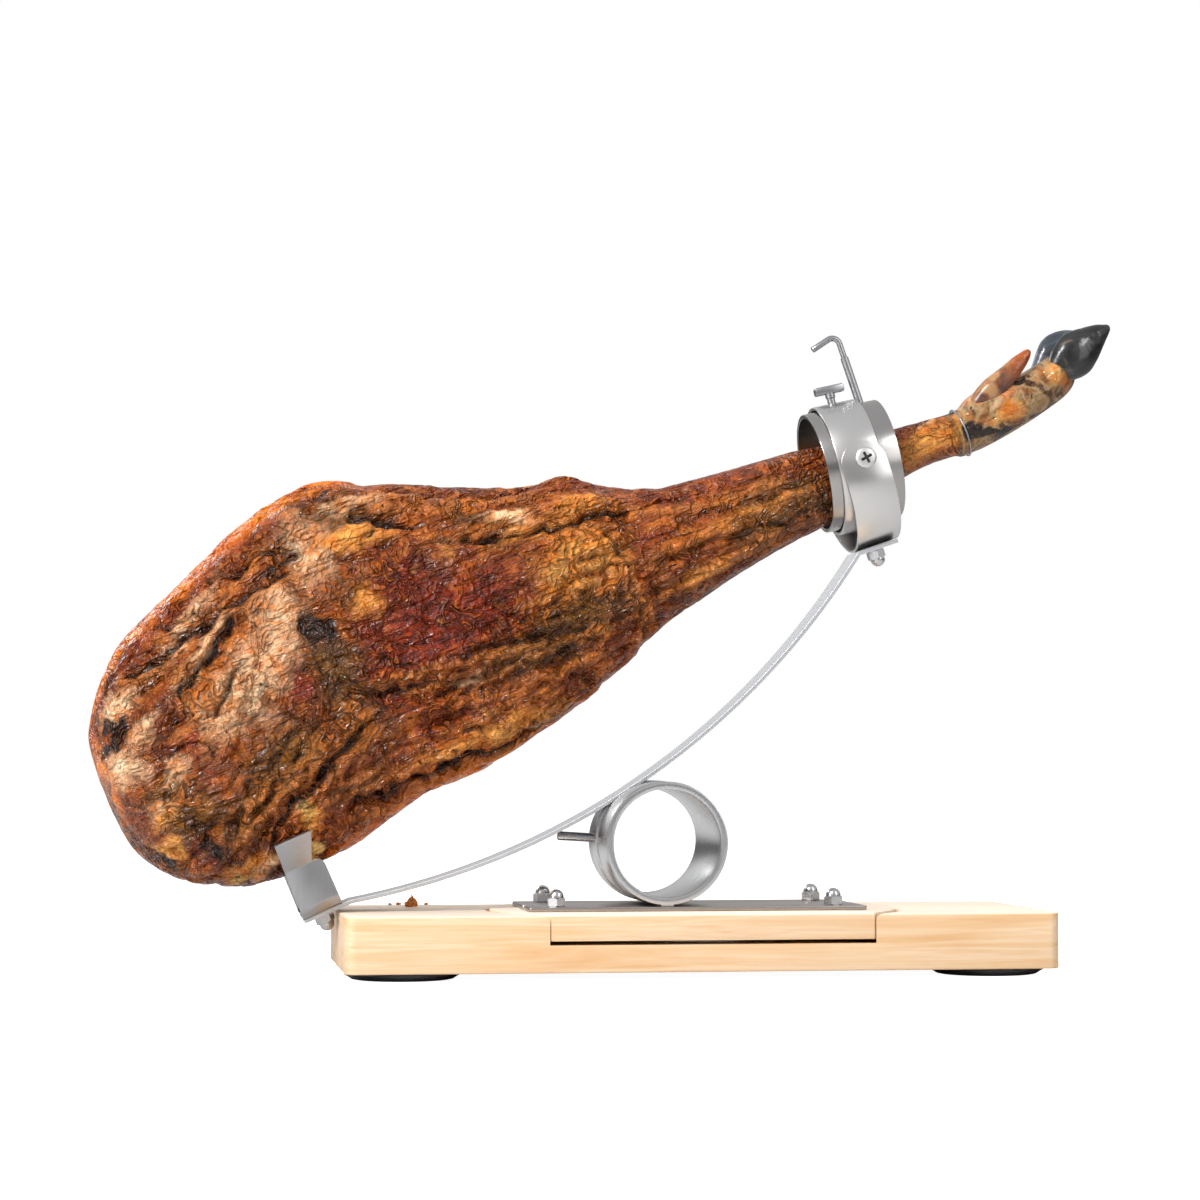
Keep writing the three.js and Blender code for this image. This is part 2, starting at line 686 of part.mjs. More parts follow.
// Clamp rod round its own axis: a threaded sleeve with a bent handle above it.
function clampRodShape() {
  const { radius, sleeve, low, sleeveTop, top, arm } = CLAMP_ROD;
  const bendRadius = 6;
  const straightTop = top - bendRadius - radius;
  const points = [
    new THREE.Vector3(0, 0, sleeveTop - 4),
    new THREE.Vector3(0, 0, straightTop),
  ];
  const steps = 6;
  for (let i = 1; i <= steps; i += 1) {
    const angle = (i / steps) * ROD_TURN;
    const x = -bendRadius * (1 - Math.cos(angle));
    points.push(new THREE.Vector3(x, 0, straightTop + bendRadius * Math.sin(angle)));
  }
  const last = points[points.length - 1];
  const endX = last.x - arm * Math.sin(ROD_TURN);
  points.push(new THREE.Vector3(endX, 0, last.z + arm * Math.cos(ROD_TURN)));
  const handle = rodAlong(points, radius, 10, 16);
  return leanWithRod(upright(sleeve, low, sleeveTop, 18)).add(leanWithRod(handle));
}

// Round rod along a polyline, as an extruded circle.
function rodAlong(points, radius, sides, steps) {
  const path = new THREE.CatmullRomCurve3(points, false, 'centripetal');
  const circle = new THREE.Shape();
  for (let i = 0; i < sides; i += 1) {
    const angle = (i / sides) * Math.PI * 2;
    const x = radius * Math.cos(angle);
    const y = radius * Math.sin(angle);
    if (i === 0) circle.moveTo(x, y);
    else circle.lineTo(x, y);
  }
  return new THREE.ExtrudeGeometry(circle, { steps, extrudePath: path, bevelEnabled: false });
}

// Place in X and Z of a point given along and across the ham.
function hamPlace(p, q) {
  return [
    HAM_ORIGIN.x + p * Math.cos(HAM_TILT) - q * Math.sin(HAM_TILT),
    HAM_ORIGIN.z + p * Math.sin(HAM_TILT) + q * Math.cos(HAM_TILT),
  ];
}

// Smooth curve through a column of the section table.
function through(values, t) {
  const last = values.length - 1;
  const index = Math.min(Math.floor(t), last - 1);
  const f = t - index;
  const v0 = values[Math.max(index - 1, 0)];
  const v1 = values[index];
  const v2 = values[index + 1];
  const v3 = values[Math.min(index + 2, last)];
  const slope1 = (v2 - v0) / 2;
  const slope2 = (v3 - v1) / 2;
  const h00 = (1 + 2 * f) * (1 - f) * (1 - f);
  const h10 = f * (1 - f) * (1 - f);
  const h01 = f * f * (3 - 2 * f);
  const h11 = f * f * (f - 1);
  return h00 * v1 + h10 * slope1 + h01 * v2 + h11 * slope2;
}

// Round dent or swelling on the side that faces front or back.
function mound(p, q, atP, atQ, alongRadius, acrossRadius, turn) {
  const dp = p - atP;
  const dq = q - atQ;
  const along = (dp * Math.cos(turn) + dq * Math.sin(turn)) / alongRadius;
  const across = (dq * Math.cos(turn) - dp * Math.sin(turn)) / acrossRadius;
  return Math.exp(-(along * along + across * across));
}

// Folds and hollows of the skin: how far a point stands in or out.
function relief(p, q, front) {
  const body = THREE.MathUtils.smoothstep(p, -425, -360) * (1 - THREE.MathUtils.smoothstep(p, -30, 60));
  const shank = THREE.MathUtils.smoothstep(p, -40, 60) * (1 - THREE.MathUtils.smoothstep(p, 120, 165));
  const wander = 9 * Math.sin(p * 0.021 + 0.6) + 5 * Math.sin(p * 0.047);
  let height = body * 1.6 * Math.sin((q + wander) * 0.155 + 0.004 * p);
  height += body * 1.1 * Math.sin((q - 0.8 * wander) * 0.31 + 0.03 * p);
  height += shank * 1.2 * Math.sin(q * 0.24 + 0.02 * p);
  if (front) {
    height -= 9 * mound(p, q, -246, 92, 34, 15, -0.9);
    height -= 6 * mound(p, q, -200, 150, 38, 9, -0.35);
    height -= 5 * mound(p, q, -258, 150, 30, 11, 0.5);
    height += 6 * mound(p, q, -300, 100, 46, 30, 0.4);
    height += 5 * mound(p, q, -150, 110, 70, 34, -0.1);
    height -= 5 * mound(p, q, -70, 118, 60, 8, -0.15);
    height += 5 * mound(p, q, -32, 92, 34, 30, 0);
    height -= 5 * mound(p, q, -180, 8, 120, 8, 0.12);
    height -= 4 * mound(p, q, -390, 92, 12, 15, 0);
  } else {
    height += 5 * mound(p, q, -240, 80, 120, 70, 0);
    height += 4 * mound(p, q, -30, 84, 40, 34, 0);
  }
  return height;
}

// Closed skin over rings of points, each ring the same length, with a point at each end.
function skinOver(rings) {
  const sides = rings[0].length;
  const points = [];
  const index = [];
  const addPoint = (point) => points.push(point[0], point[1], point[2]);
  const middle = (circle) => circle
    .reduce((sum, point) => [sum[0] + point[0], sum[1] + point[1], sum[2] + point[2]], [0, 0, 0])
    .map((value) => value / circle.length);
  rings.forEach((circle) => circle.forEach(addPoint));
  for (let i = 0; i < rings.length - 1; i += 1) {
    for (let j = 0; j < sides; j += 1) {
      const next = (j + 1) % sides;
      const a = i * sides + j;
      const b = i * sides + next;
      index.push(a, b, b + sides, a, b + sides, a + sides);
    }
  }
  const start = points.length / 3;
  addPoint(middle(rings[0]));
  addPoint(middle(rings[rings.length - 1]));
  const lastRing = (rings.length - 1) * sides;
  for (let j = 0; j < sides; j += 1) {
    const next = (j + 1) % sides;
    index.push(start, next, j);
    index.push(start + 1, lastRing + j, lastRing + next);
  }
  const geometry = new THREE.BufferGeometry();
  geometry.setAttribute('position', new THREE.Float32BufferAttribute(points, 3));
  geometry.setIndex(index);
  return geometry;
}

function hamBody() {
  const column = (i) => HAM_SECTIONS.map((row) => row[i]);
  const [alongs, tops, bottoms, fronts, backs] = [0, 1, 2, 3, 4].map(column);
  const rings = [];
  const total = (HAM_SECTIONS.length - 1) * HAM_STEPS;
  for (let i = 0; i <= total; i += 1) {
    const t = i / HAM_STEPS;
    const p = through(alongs, t);
    const top = through(tops, t);
    const bottom = through(bottoms, t);
    const circle = [];
    for (let j = 0; j < HAM_SIDES; j += 1) {
      const angle = (j / HAM_SIDES) * Math.PI * 2;
      const front = Math.cos(angle) > 0;
      const depth = through(front ? fronts : backs, t);
      const q = (top + bottom) / 2 + ((top - bottom) / 2) * Math.sin(angle);
      const bulge = Math.sign(Math.cos(angle)) * Math.abs(Math.cos(angle)) ** 0.86;
      const facing = Math.min(1, Math.abs(Math.cos(angle)) * 1.4);
      const stands = relief(p, q, front) * facing;
      const y = -(bulge * depth + Math.sign(bulge) * stands);
      const [x, z] = hamPlace(p, q);
      circle.push([x, y, z]);
    }
    rings.push(circle);
  }
  return skinOver(rings);
}

// Toe or claw: round sections across the line that joins their middles.
function toe(rows, flatness) {
  const rings = rows.map(([p, q, y, radius], i) => {
    const before = rows[Math.max(i - 1, 0)];
    const after = rows[Math.min(i + 1, rows.length - 1)];
    const slope = Math.atan2(after[1] - before[1], after[0] - before[0]);
    const circle = [];
    for (let j = 0; j < TOE_SIDES; j += 1) {
      const angle = (j / TOE_SIDES) * Math.PI * 2;
      const across = radius * Math.sin(angle);
      const [x, z] = hamPlace(p - across * Math.sin(slope), q + across * Math.cos(slope));
      circle.push([x, y - radius * flatness * Math.cos(angle), z]);
    }
    return circle;
  });
  return skinOver(rings);
}

function heelShape() {
  const geometry = new THREE.SphereGeometry(1, 20, 12);
  geometry.scale(HEEL.alongRadius, HEEL.throughRadius, HEEL.downRadius);
  geometry.rotateY(-HAM_TILT);
  const [x, z] = hamPlace(HEEL.p, HEEL.q);
  geometry.translate(x, 0, z);
  return geometry;
}

function hamShape() {
  const room = cradleRoom();
  room.translate(0, 0, BAR.thickness / 2 + GAP);
  room.rotateY(-CRADLE_SLOPE);
  room.translate(CRADLE_AT.x, 0, CRADLE_AT.z);
  return solid(hamBody())
    .add(solid(heelShape()))
    .subtract(solid(room))
    .add(solid(toe(NEAR_TOE, 0.62)))
    .add(solid(toe(FAR_TOE, 0.62)))
    .add(solid(toe(NEAR_CLAW, 0.8)))
    .add(solid(toe(FAR_CLAW, 0.8)));
}

// Wire loop: a thin ring squashed to the ankle's section.
function tieShape() {
  const geometry = new THREE.TorusGeometry(TIE.across, TIE.wire, 5, 24);
  geometry.scale(TIE.through / TIE.across, 1, 1);
  geometry.rotateX(Math.PI / 2);
  geometry.rotateZ(Math.PI / 2);
  geometry.rotateY(-HAM_TILT);
  const [x, z] = hamPlace(TIE.p, TIE.q);
  geometry.translate(x, 0, z);
  return geometry;
}

function baseGroup() {
  const group = new THREE.Group();
  group.add(piece('board', boardShape(), WOOD));
  for (const [side, signX] of [['left', -1], ['right', 1]]) {
    for (const [row, signY] of [['front', -1], ['rear', 1]]) {
      const geometry = padShape();
      const end = signX < 0 ? BOARD_LEFT : BOARD_RIGHT;
      geometry.translate(end - signX * PAD_INSET.x, signY * (BOARD_DEPTH / 2 - PAD_INSET.y), 0);
      group.add(piece(`pad_${row}_${side}`, solid(geometry), RUBBER));
    }
  }
  group.add(piece('turntable_bearing', solid(bearingShape()), STEEL));
  return group;
}

function turntableGroup() {
  const group = new THREE.Group();
  group.add(piece('turntable_disc', discShape(), WOOD));
  group.add(piece('base_plate', solid(plateShape()), STEEL));
  for (const [side, signX] of [['left', -1], ['right', 1]]) {
    for (const [row, signY] of [['front', -1], ['rear', 1]]) {
      const nut = piece(`plate_nut_${row}_${side}`, capNutShape(), POLISHED);
      nut.position.set(
        NUT_MIDDLE.x + signX * NUT_SPREAD.x,
        NUT_MIDDLE.y + signY * NUT_SPREAD.y,
        PLATE_TOP + GAP,
      );
      nut.rotation.z = signX * 0.35 + signY * 0.2;
      group.add(nut);
    }
  }
  group.add(piece('pivot_tube', tubeShape(), STEEL));
  group.add(piece('tube_spacer', solid(spacerShape()), RUBBER));
  return group;
}

function cradleGroup() {
  const group = new THREE.Group();
  const lift = BAR.thickness / 2 + GAP;
  group.position.set(CRADLE_AT.x, 0, CRADLE_AT.z);
  group.rotation.y = -CRADLE_SLOPE;
  const cradle = piece('cradle', cradleShape(), STEEL);
  cradle.position.z = lift;
  group.add(cradle);
  const nut = piece('cradle_nut', capNutShape(), POLISHED);
  nut.rotation.x = Math.PI;
  nut.position.z = -lift;
  group.add(nut);
  return group;
}

function headGroup() {
  const group = new THREE.Group();
  group.position.set(HEAD_AT.x, 0, HEAD_AT.z);
  group.rotation.y = -HEAD_TILT;
  group.add(piece('head_ring', headRingShape(), STEEL));
  group.add(piece('head_band', headBandShape(), STEEL));
  const near = piece('pivot_screw_front', pivotScrewShape(), POLISHED);
  const far = piece('pivot_screw_rear', pivotScrewShape(), POLISHED);
  near.position.z = YOKE_LIFT;
  far.position.z = YOKE_LIFT;
  far.rotation.z = Math.PI;
  group.add(near, far);
  const thumb = piece('thumb_screw', thumbScrewShape(), POLISHED);
  thumb.position.x = THUMB_SCREW.at;
  group.add(thumb);
  group.add(piece('clamp_rod', clampRodShape(), POLISHED));
  return group;
}

function yokeGroup() {
  const group = new THREE.Group();
  const [x, z] = yokePoint(0, 0);
  group.position.set(x, 0, z);
  group.rotation.y = -YOKE_TILT;
  group.add(piece('yoke', yokeShape(), STEEL));
  const nut = piece('yoke_nut', capNutShape(), POLISHED);
  nut.rotation.x = Math.PI;
  nut.rotation.z = Math.PI / 6;
  nut.position.set(YOKE_NUT_X, 0, -(YOKE_BOTTOM + BAR.thickness + 2 * GAP));
  group.add(nut);
  return group;
}

function armGroup() {
  const group = new THREE.Group();
  group.add(piece('tilt_collar', collarShape(), STEEL));
  const pinFrom = TUBE.sleeve + 2 * GAP;
  const pin = lockPinGeometry(LOCK_PIN.radius, pinFrom, LOCK_PIN.end);
  group.add(piece('lock_pin', solid(pin), POLISHED));
  group.add(piece('arm_bar', solid(barShape()), STEEL));
  group.add(cradleGroup(), headGroup(), yokeGroup());
  group.add(piece('ham', hamShape(), MEAT));
  group.add(piece('ankle_tie', solid(tieShape()), STEEL));
  return group;
}

const part = new THREE.Group();
part.add(baseGroup(), turntableGroup(), armGroup());
part.position.x = -new THREE.Box3().setFromObject(part).getCenter(new THREE.Vector3()).x;

export default part;
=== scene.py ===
"""Looks of a cured ham in its steel carving stand. Sizes are in millimetres, turned to metres by MM."""
import math
import bpy
import numpy as np
from mathutils import Matrix, Vector, noise


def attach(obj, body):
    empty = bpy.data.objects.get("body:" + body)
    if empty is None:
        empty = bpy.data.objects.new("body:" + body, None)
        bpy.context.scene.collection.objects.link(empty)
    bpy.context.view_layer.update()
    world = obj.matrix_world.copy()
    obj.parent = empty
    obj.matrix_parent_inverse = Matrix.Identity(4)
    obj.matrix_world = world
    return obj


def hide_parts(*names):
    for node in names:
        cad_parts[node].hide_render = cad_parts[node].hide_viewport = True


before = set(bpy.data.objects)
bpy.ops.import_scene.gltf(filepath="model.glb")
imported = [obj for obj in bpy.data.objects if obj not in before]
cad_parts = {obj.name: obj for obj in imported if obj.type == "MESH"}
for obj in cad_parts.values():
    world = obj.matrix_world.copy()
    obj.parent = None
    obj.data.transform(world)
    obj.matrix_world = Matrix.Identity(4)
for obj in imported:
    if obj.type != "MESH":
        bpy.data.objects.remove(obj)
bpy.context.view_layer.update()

MM = 0.001
# How far the model was moved along X so that its box is centred.
FRAME_X = 57.9
GAP = 0.3

# Board, pads and turntable.
BOARD = {"left": -271, "right": 272, "depth": 200, "low": 6, "top": 48.5, "corner": 9}
PAD = {"radius": 44, "foot": 37, "inset_x": 46, "inset_y": 48}
PIVOT_X = 4.7
POCKET = {"radius": 159.1, "floor": 26.5, "lip": 4.5}
DISC = {"radius": 157.9, "low": 29.5, "top": 49.7}
PLATE = {"left": -131, "right": 129, "front": -67, "rear": 46, "low": 50, "top": 53.2, "notch": 5}
NUT_SPREAD = (107, 42)
NUT_MIDDLE = (-2, -14)
# Cap nut for an M8 bolt: distance across its flats, height of the hexagon, dome and whole nut.
NUT = {"flats": 13, "hexagon": 6.6, "dome": 5.7, "shoulder": 7.4, "rise": 5.6, "top": 13}

# Tube, collar and lock pin.
TUBE = {"x": -25.4, "z": 101, "outer": 46.7, "inner": 41, "sleeve": 42.6, "front": -67, "rear": 46}
RIM_REAR = -21.5
SPACER_REAR = -10.5
SPACER_OUTER = 44
COLLAR = {"outer": 47.3, "rear": 28, "flat": 44.25}
LOCK_PIN = {"radius": 3.5, "end": 74.6, "y": 8, "tilt": 0.06}

# Bar, cradle and head.
BAR = {"width": 40, "thickness": 3, "radius": 599, "x": -370.9, "z": 643.9}
BAR_AT_TUBE = math.atan2(TUBE["x"] - BAR["x"], BAR["z"] - TUBE["z"])
CRADLE_SLOPE = math.radians(24)
CRADLE_AT = (-282.6, 47.6)
CRADLE_TAB = 15.5
CRADLE = {"length": 32, "half": 34, "thickness": 2.5, "bend": 9, "leg": 39.5, "flare": 21.8, "lean": 0.62}
FLANGE_SHIFT = 2
HEAD_AT = (132.6, 396.3)
HEAD_TILT = math.radians(12.7)
HEAD_TAB = 14.5
RING = {"outer": 47.5, "inner": 44.6, "half": 29.7}
BAND = {"outer": 51.5, "inner": 49.2, "left": -21, "right": 13}
YOKE_LIFT = 1.5
YOKE_TILT = math.radians(18.8)
YOKE = {"width": 36.4, "inner": 53.2, "thickness": 2.4, "drop": 11.6, "shift": -2.3}
YOKE_BOTTOM = YOKE["drop"] + YOKE["inner"] + YOKE["thickness"]
YOKE_NUT_X = -3.5
THUMB_X = -3.6
# Cross slot of the two screws: half length, half width, height of its floor and its turn.
CROSS = {"long": 4.6, "wide": 1.1, "floor": 0.8, "turn": 0.3}
ROD_LEAN = math.radians(6.2)
ROD_TURN = math.radians(105)
ROD = {"at": 18.4, "radius": 2.4, "sleeve": 3.2, "low": -22, "sleeve_top": 38, "top": 58, "arm": 15.5}

# Ham. P runs along it from the butt to the hoof, Q across it, Y through it.
HAM_ORIGIN = (-26, 250)
HAM_TILT = math.radians(22)
# X of the ham's own zero once the coordinates are turned by the tilt.
HAM_ZERO = 123.2
# Along, upper edge, lower edge, half thickness towards the front, and towards the back.
HAM_SECTIONS = np.array([
    (-434, 62, 46, 4, 5), (-431, 93, 15, 19, 22), (-424, 110, -4, 32, 37), (-408, 132, -24, 45, 51),
    (-385, 153.5, -40, 54, 60), (-355, 168, -52, 60, 66), (-320, 182.5, -54.5, 63, 70),
    (-285, 199.5, -54.5, 64, 72), (-250, 210.5, -47, 64, 72), (-205, 217.5, -38, 63, 71),
    (-180, 211.5, -37.5, 61, 69), (-155, 199, -37, 58, 66), (-115, 181.5, -28.5, 53, 61),
    (-75, 165, -19.5, 48, 55), (-40, 153.5, -8, 44, 50), (-16, 152, 1, 41, 46), (12, 132, 13.5, 38, 41),
    (50, 117, 22, 34, 36), (90, 111.5, 30, 31, 32), (130, 107.5, 36, 28, 29), (165, 104, 39, 27, 27),
    (205, 97, 46.5, 23, 23), (250, 91, 53, 17, 17), (281, 87.8, 52.5, 16, 16),
    (289, 87, 49.8, 17.6, 17.6), (295, 86.8, 50.2, 16.5, 16.5), (301, 88.4, 49.8, 18.2, 18.2),
    (310, 93, 50, 18.5, 18.5), (328, 96.5, 52, 18.5, 18.5), (350, 94.5, 55.5, 18, 18),
    (373, 97.5, 60.5, 17.5, 17.5), (388, 100, 65, 15, 15), (398, 97, 72, 9, 9), (402, 90, 83, 3, 3),
])


# Helpers for making pieces.

def deselect():
    if bpy.context.object and bpy.context.object.mode != "OBJECT":
        bpy.ops.object.mode_set(mode="OBJECT")
    bpy.ops.object.select_all(action="DESELECT")


def named(name):
    piece = bpy.context.object
    piece.name = piece.data.name = name
    return piece


def edit(piece):
    deselect()
    piece.select_set(True)
    bpy.context.view_layer.objects.active = piece
    bpy.ops.object.mode_set(mode="EDIT")
    bpy.ops.mesh.select_all(action="SELECT")


def close_up():
    """Merges doubles, turns the faces outwards and leaves edit mode."""
    bpy.ops.mesh.select_all(action="SELECT")
    bpy.ops.mesh.remove_doubles(threshold=2e-6)
    bpy.ops.mesh.delete_loose()
    bpy.ops.mesh.select_all(action="SELECT")
    bpy.ops.mesh.normals_make_consistent(inside=False)
    bpy.ops.object.mode_set(mode="OBJECT")


def smooth(piece, degrees=35):
    deselect()
    piece.select_set(True)
    bpy.context.view_layer.objects.active = piece
    bpy.ops.object.shade_smooth_by_angle(angle=math.radians(degrees))
    return piece


def outline_mesh(name, points, fill):
    """A closed outline in the local X and Z, made from a circle of as many points."""
    deselect()
    bpy.ops.mesh.primitive_circle_add(vertices=len(points), fill_type=fill)
    piece = named(name)
    for vertex, (x, z) in zip(piece.data.vertices, points):
        vertex.co = (x * MM, 0, z * MM)
    return piece


def turned(name, profile, steps=96):
    """Round piece on the local Z axis from a closed loop of (radius, height)."""
    piece = outline_mesh(name, profile, "NOTHING")
    edit(piece)
    bpy.ops.mesh.spin(steps=steps, angle=math.tau, center=(0, 0, 0), axis=(0, 0, 1))
    close_up()
    return smooth(piece)


def prism(name, outline, y0, y1):
    """Outline in X and Z, pushed through from Y = y0 to Y = y1."""
    piece = outline_mesh(name, outline, "NGON")
    edit(piece)
    bpy.ops.transform.translate(value=(0, y0 * MM, 0))
    bpy.ops.mesh.extrude_region_move(TRANSFORM_OT_translate={"value": (0, (y1 - y0) * MM, 0)})
    close_up()
    return piece


def block(name, x0, x1, y0, y1, z0, z1):
    deselect()
    bpy.ops.mesh.primitive_cube_add(
        size=1,
        location=((x0 + x1) / 2 * MM, (y0 + y1) / 2 * MM, (z0 + z1) / 2 * MM),
        scale=((x1 - x0) * MM, (y1 - y0) * MM, (z1 - z0) * MM),
    )
    bpy.ops.object.transform_apply(location=True, rotation=True, scale=True)
    return named(name)


def modify(piece, kind, **settings):
    deselect()
    piece.select_set(True)
    bpy.context.view_layer.objects.active = piece
    modifier = piece.modifiers.new(kind, kind)
    for key, value in settings.items():
        setattr(modifier, key, value)
    bpy.ops.object.modifier_apply(modifier=modifier.name)
    return piece


def bevelled(piece, width, segments=3, degrees=40):
    modify(piece, "BEVEL", width=width * MM, segments=segments, limit_method="ANGLE",
           angle_limit=math.radians(degrees), use_clamp_overlap=True)
    return smooth(piece)


def cut(piece, tool, operation="DIFFERENCE"):
    modify(piece, "BOOLEAN", object=tool, operation=operation, solver="EXACT")
    bpy.data.objects.remove(tool)
    return piece


def settle(piece, matrix):
    """Puts a piece modelled round its own axes in its place, keeping the object at the origin."""
    piece.data.transform(matrix)
    piece.data.update()
    return piece


def at(x, y, z):
    return Matrix.Translation((x * MM, y * MM, z * MM))


def turn(angle, axis):
    return Matrix.Rotation(angle, 4, axis)


def mount(piece, body, nodes, material):
    """Gives a finished piece its body, the CAD nodes that it stands for, and its material."""
    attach(piece, body)
    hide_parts(*nodes)
    piece.data.materials.clear()
    piece.data.materials.append(material)
    return piece


# Materials.

class Finish:
    """Small helper round one material's node tree. Coordinates are the piece's own, in metres."""

    def __init__(self, name):
        self.material = bpy.data.materials.new(name)
        self.material.use_nodes = True
        self.tree = self.material.node_tree
        self.shader = self.tree.nodes["Principled BSDF"]
        self.place = self.add("ShaderNodeTexCoord").outputs["Object"]

    def add(self, kind, **settings):
        node = self.tree.nodes.new(kind)
        for key, value in settings.items():
            setattr(node, key, value)
        return node

    def link(self, source, target):
        self.tree.links.new(source, target)

    def feed(self, node, name, value):
        socket = node.inputs[name]
        if isinstance(value, bpy.types.NodeSocket):
            self.link(value, socket)
        else:
            socket.default_value = value

    def mapped(self, scale=(1, 1, 1), rotation=(0, 0, 0), source=None):
        node = self.add("ShaderNodeMapping")
        self.link(source or self.place, node.inputs["Vector"])
        node.inputs["Scale"].default_value = scale
        node.inputs["Rotation"].default_value = rotation
        return node.outputs["Vector"]

    def noise(self, scale, detail=4, roughness=0.5, distortion=0, vector=None):
        node = self.add("ShaderNodeTexNoise")
        self.link(vector or self.place, node.inputs["Vector"])
        settings = {"Scale": scale, "Detail": detail, "Roughness": roughness, "Distortion": distortion}
        for key, value in settings.items():
            node.inputs[key].default_value = value
        return node.outputs["Fac"]

    def cells(self, scale, feature="F1", vector=None):
        node = self.add("ShaderNodeTexVoronoi", feature=feature)
        self.link(vector or self.place, node.inputs["Vector"])
        node.inputs["Scale"].default_value = scale
        return node.outputs["Distance"]

    def ramp(self, factor, stops, smooth_steps=False):
        node = self.add("ShaderNodeValToRGB")
        self.link(factor, node.inputs["Fac"])
        ramp = node.color_ramp
        if smooth_steps:
            ramp.interpolation = "EASE"
        while len(ramp.elements) < len(stops):
            ramp.elements.new(0.5)
        for element, (position, colour) in zip(ramp.elements, stops):
            element.position = position
            element.color = colour if len(colour) == 4 else (*colour, 1)
        return node.outputs["Color"]

    def span(self, factor, low, high, start=0.0, end=1.0):
        node = self.add("ShaderNodeMapRange")
        self.link(factor, node.inputs["Value"])
        for key, value in (("From Min", low), ("From Max", high), ("To Min", start), ("To Max", end)):
            node.inputs[key].default_value = value
        return node.outputs["Result"]

    def math(self, operation, a, b=0.0):
        node = self.add("ShaderNodeMath", operation=operation)
        for index, value in enumerate((a, b)):
            if isinstance(value, bpy.types.NodeSocket):
                self.link(value, node.inputs[index])
            else:
                node.inputs[index].default_value = value
        return node.outputs["Value"]

    def mix(self, factor, a, b, blend="MIX"):
        node = self.add("ShaderNodeMix", data_type="RGBA", blend_type=blend)
        for index, value in ((0, factor), (6, a), (7, b)):
            if isinstance(value, bpy.types.NodeSocket):
                self.link(value, node.inputs[index])
            elif index == 0:
                node.inputs[0].default_value = value
            else:
                node.inputs[index].default_value = (*value, 1) if len(value) == 3 else value
        return node.outputs[2]

    def attribute(self, name):
        return self.add("ShaderNodeAttribute", attribute_name=name).outputs["Fac"]

    def bump(self, height, distance, strength=1.0, before=None):
        node = self.add("ShaderNodeBump")
        node.inputs["Strength"].default_value = strength
        node.inputs["Distance"].default_value = distance
        self.link(height, node.inputs["Height"])
        if before:
            self.link(before, node.inputs["Normal"])
        return node.outputs["Normal"]

    def done(self, colour, roughness, metallic=0.0, normal=None, **fixed):
        for name, value in (("Base Color", colour), ("Roughness", roughness), ("Metallic", metallic)):
            if isinstance(value, tuple) and len(value) == 3:
                value = (*value, 1)
            self.feed(self.shader, name, value)
        if normal:
            self.link(normal, self.shader.inputs["Normal"])
        for name, value in fixed.items():
            self.shader.inputs[name].default_value = value
        return self.material


def rgb(red, green, blue):
    """Screen colour from 0 to 255 as a linear colour."""
    def linear(value):
        value /= 255
        return value / 12.92 if value <= 0.04045 else ((value + 0.055) / 1.055) ** 2.4
    return (linear(red), linear(green), linear(blue))


def steel_finish(name, colour, roughness, streak=0.0, stretch=(1, 1, 1)):
    """Brushed steel: fine streaks along the stretched direction, faint smears and a soft sheen."""
    f = Finish(name)
    smears = f.noise(9, 2, 0.5)
    shade = f.mix(f.span(smears, 0.35, 0.75, 0, 0.3), colour, tuple(c * 0.8 for c in colour))
    rough = f.span(smears, 0.3, 0.8, roughness, roughness + 0.03)
    if streak:
        streaks = f.noise(1100, 2, 0.5, vector=f.mapped(stretch))
        shade = f.mix(f.span(streaks, 0.35, 0.7, 0, streak), shade, tuple(c * 0.6 for c in colour))
        rough = f.math("ADD", rough, f.span(streaks, 0.3, 0.7, -0.03, 0.04))
    return f.done(shade, rough, 1.0)


def wood_finish(name, turn_grain=0.0):
    """Pale pine: long grain lines along X with a few darker streaks, and a top painted paler for the light
    on it.
    """
    f = Finish(name)
    stretched = f.mapped((1.6, 16, 34), (0, 0, turn_grain))
    flow = f.noise(3.2, 4, 0.55, 0.7, stretched)
    lines = f.noise(26, 5, 0.6, 0.25, f.mapped((0.7, 9, 16), (0, 0, turn_grain)))
    fibre = f.noise(420, 2, 0.5, 0, f.mapped((0.03, 1, 1), (0, 0, turn_grain)))
    base = f.ramp(flow, [(0.30, rgb(216, 171, 122)), (0.45, rgb(223, 188, 147)), (0.58, rgb(229, 200, 166)),
                         (0.72, rgb(217, 175, 128))])
    base = f.mix(f.span(lines, 0.52, 0.72, 0, 0.35), base, rgb(214, 156, 102))
    base = f.mix(f.span(fibre, 0.55, 0.8, 0, 0.25), base, rgb(206, 150, 102))
    # Painted light: the top is paler than the sides, standing in for the bright sheen of the lit top.
    height = f.add("ShaderNodeSeparateXYZ")
    f.link(f.place, height.inputs[0])
    base = f.mix(f.span(height.outputs["Z"], 0.0474, 0.0484, 0, 0.6), base, rgb(255, 244, 230))
    rough = f.span(fibre, 0.3, 0.7, 0.36, 0.5)
    return f.done(base, rough, 0.0, f.bump(fibre, 0.0002, 0.2))


def rubber_finish():
    """Black rubber with a fine grain."""
    f = Finish("Black rubber")
    grain = f.noise(900, 3, 0.6)
    colour = f.mix(f.span(grain, 0.3, 0.7), (0.012, 0.012, 0.014), (0.035, 0.035, 0.04))
    return f.done(colour, f.span(grain, 0.3, 0.7, 0.6, 0.8), 0.0, f.bump(grain, 0.0002, 0.3))


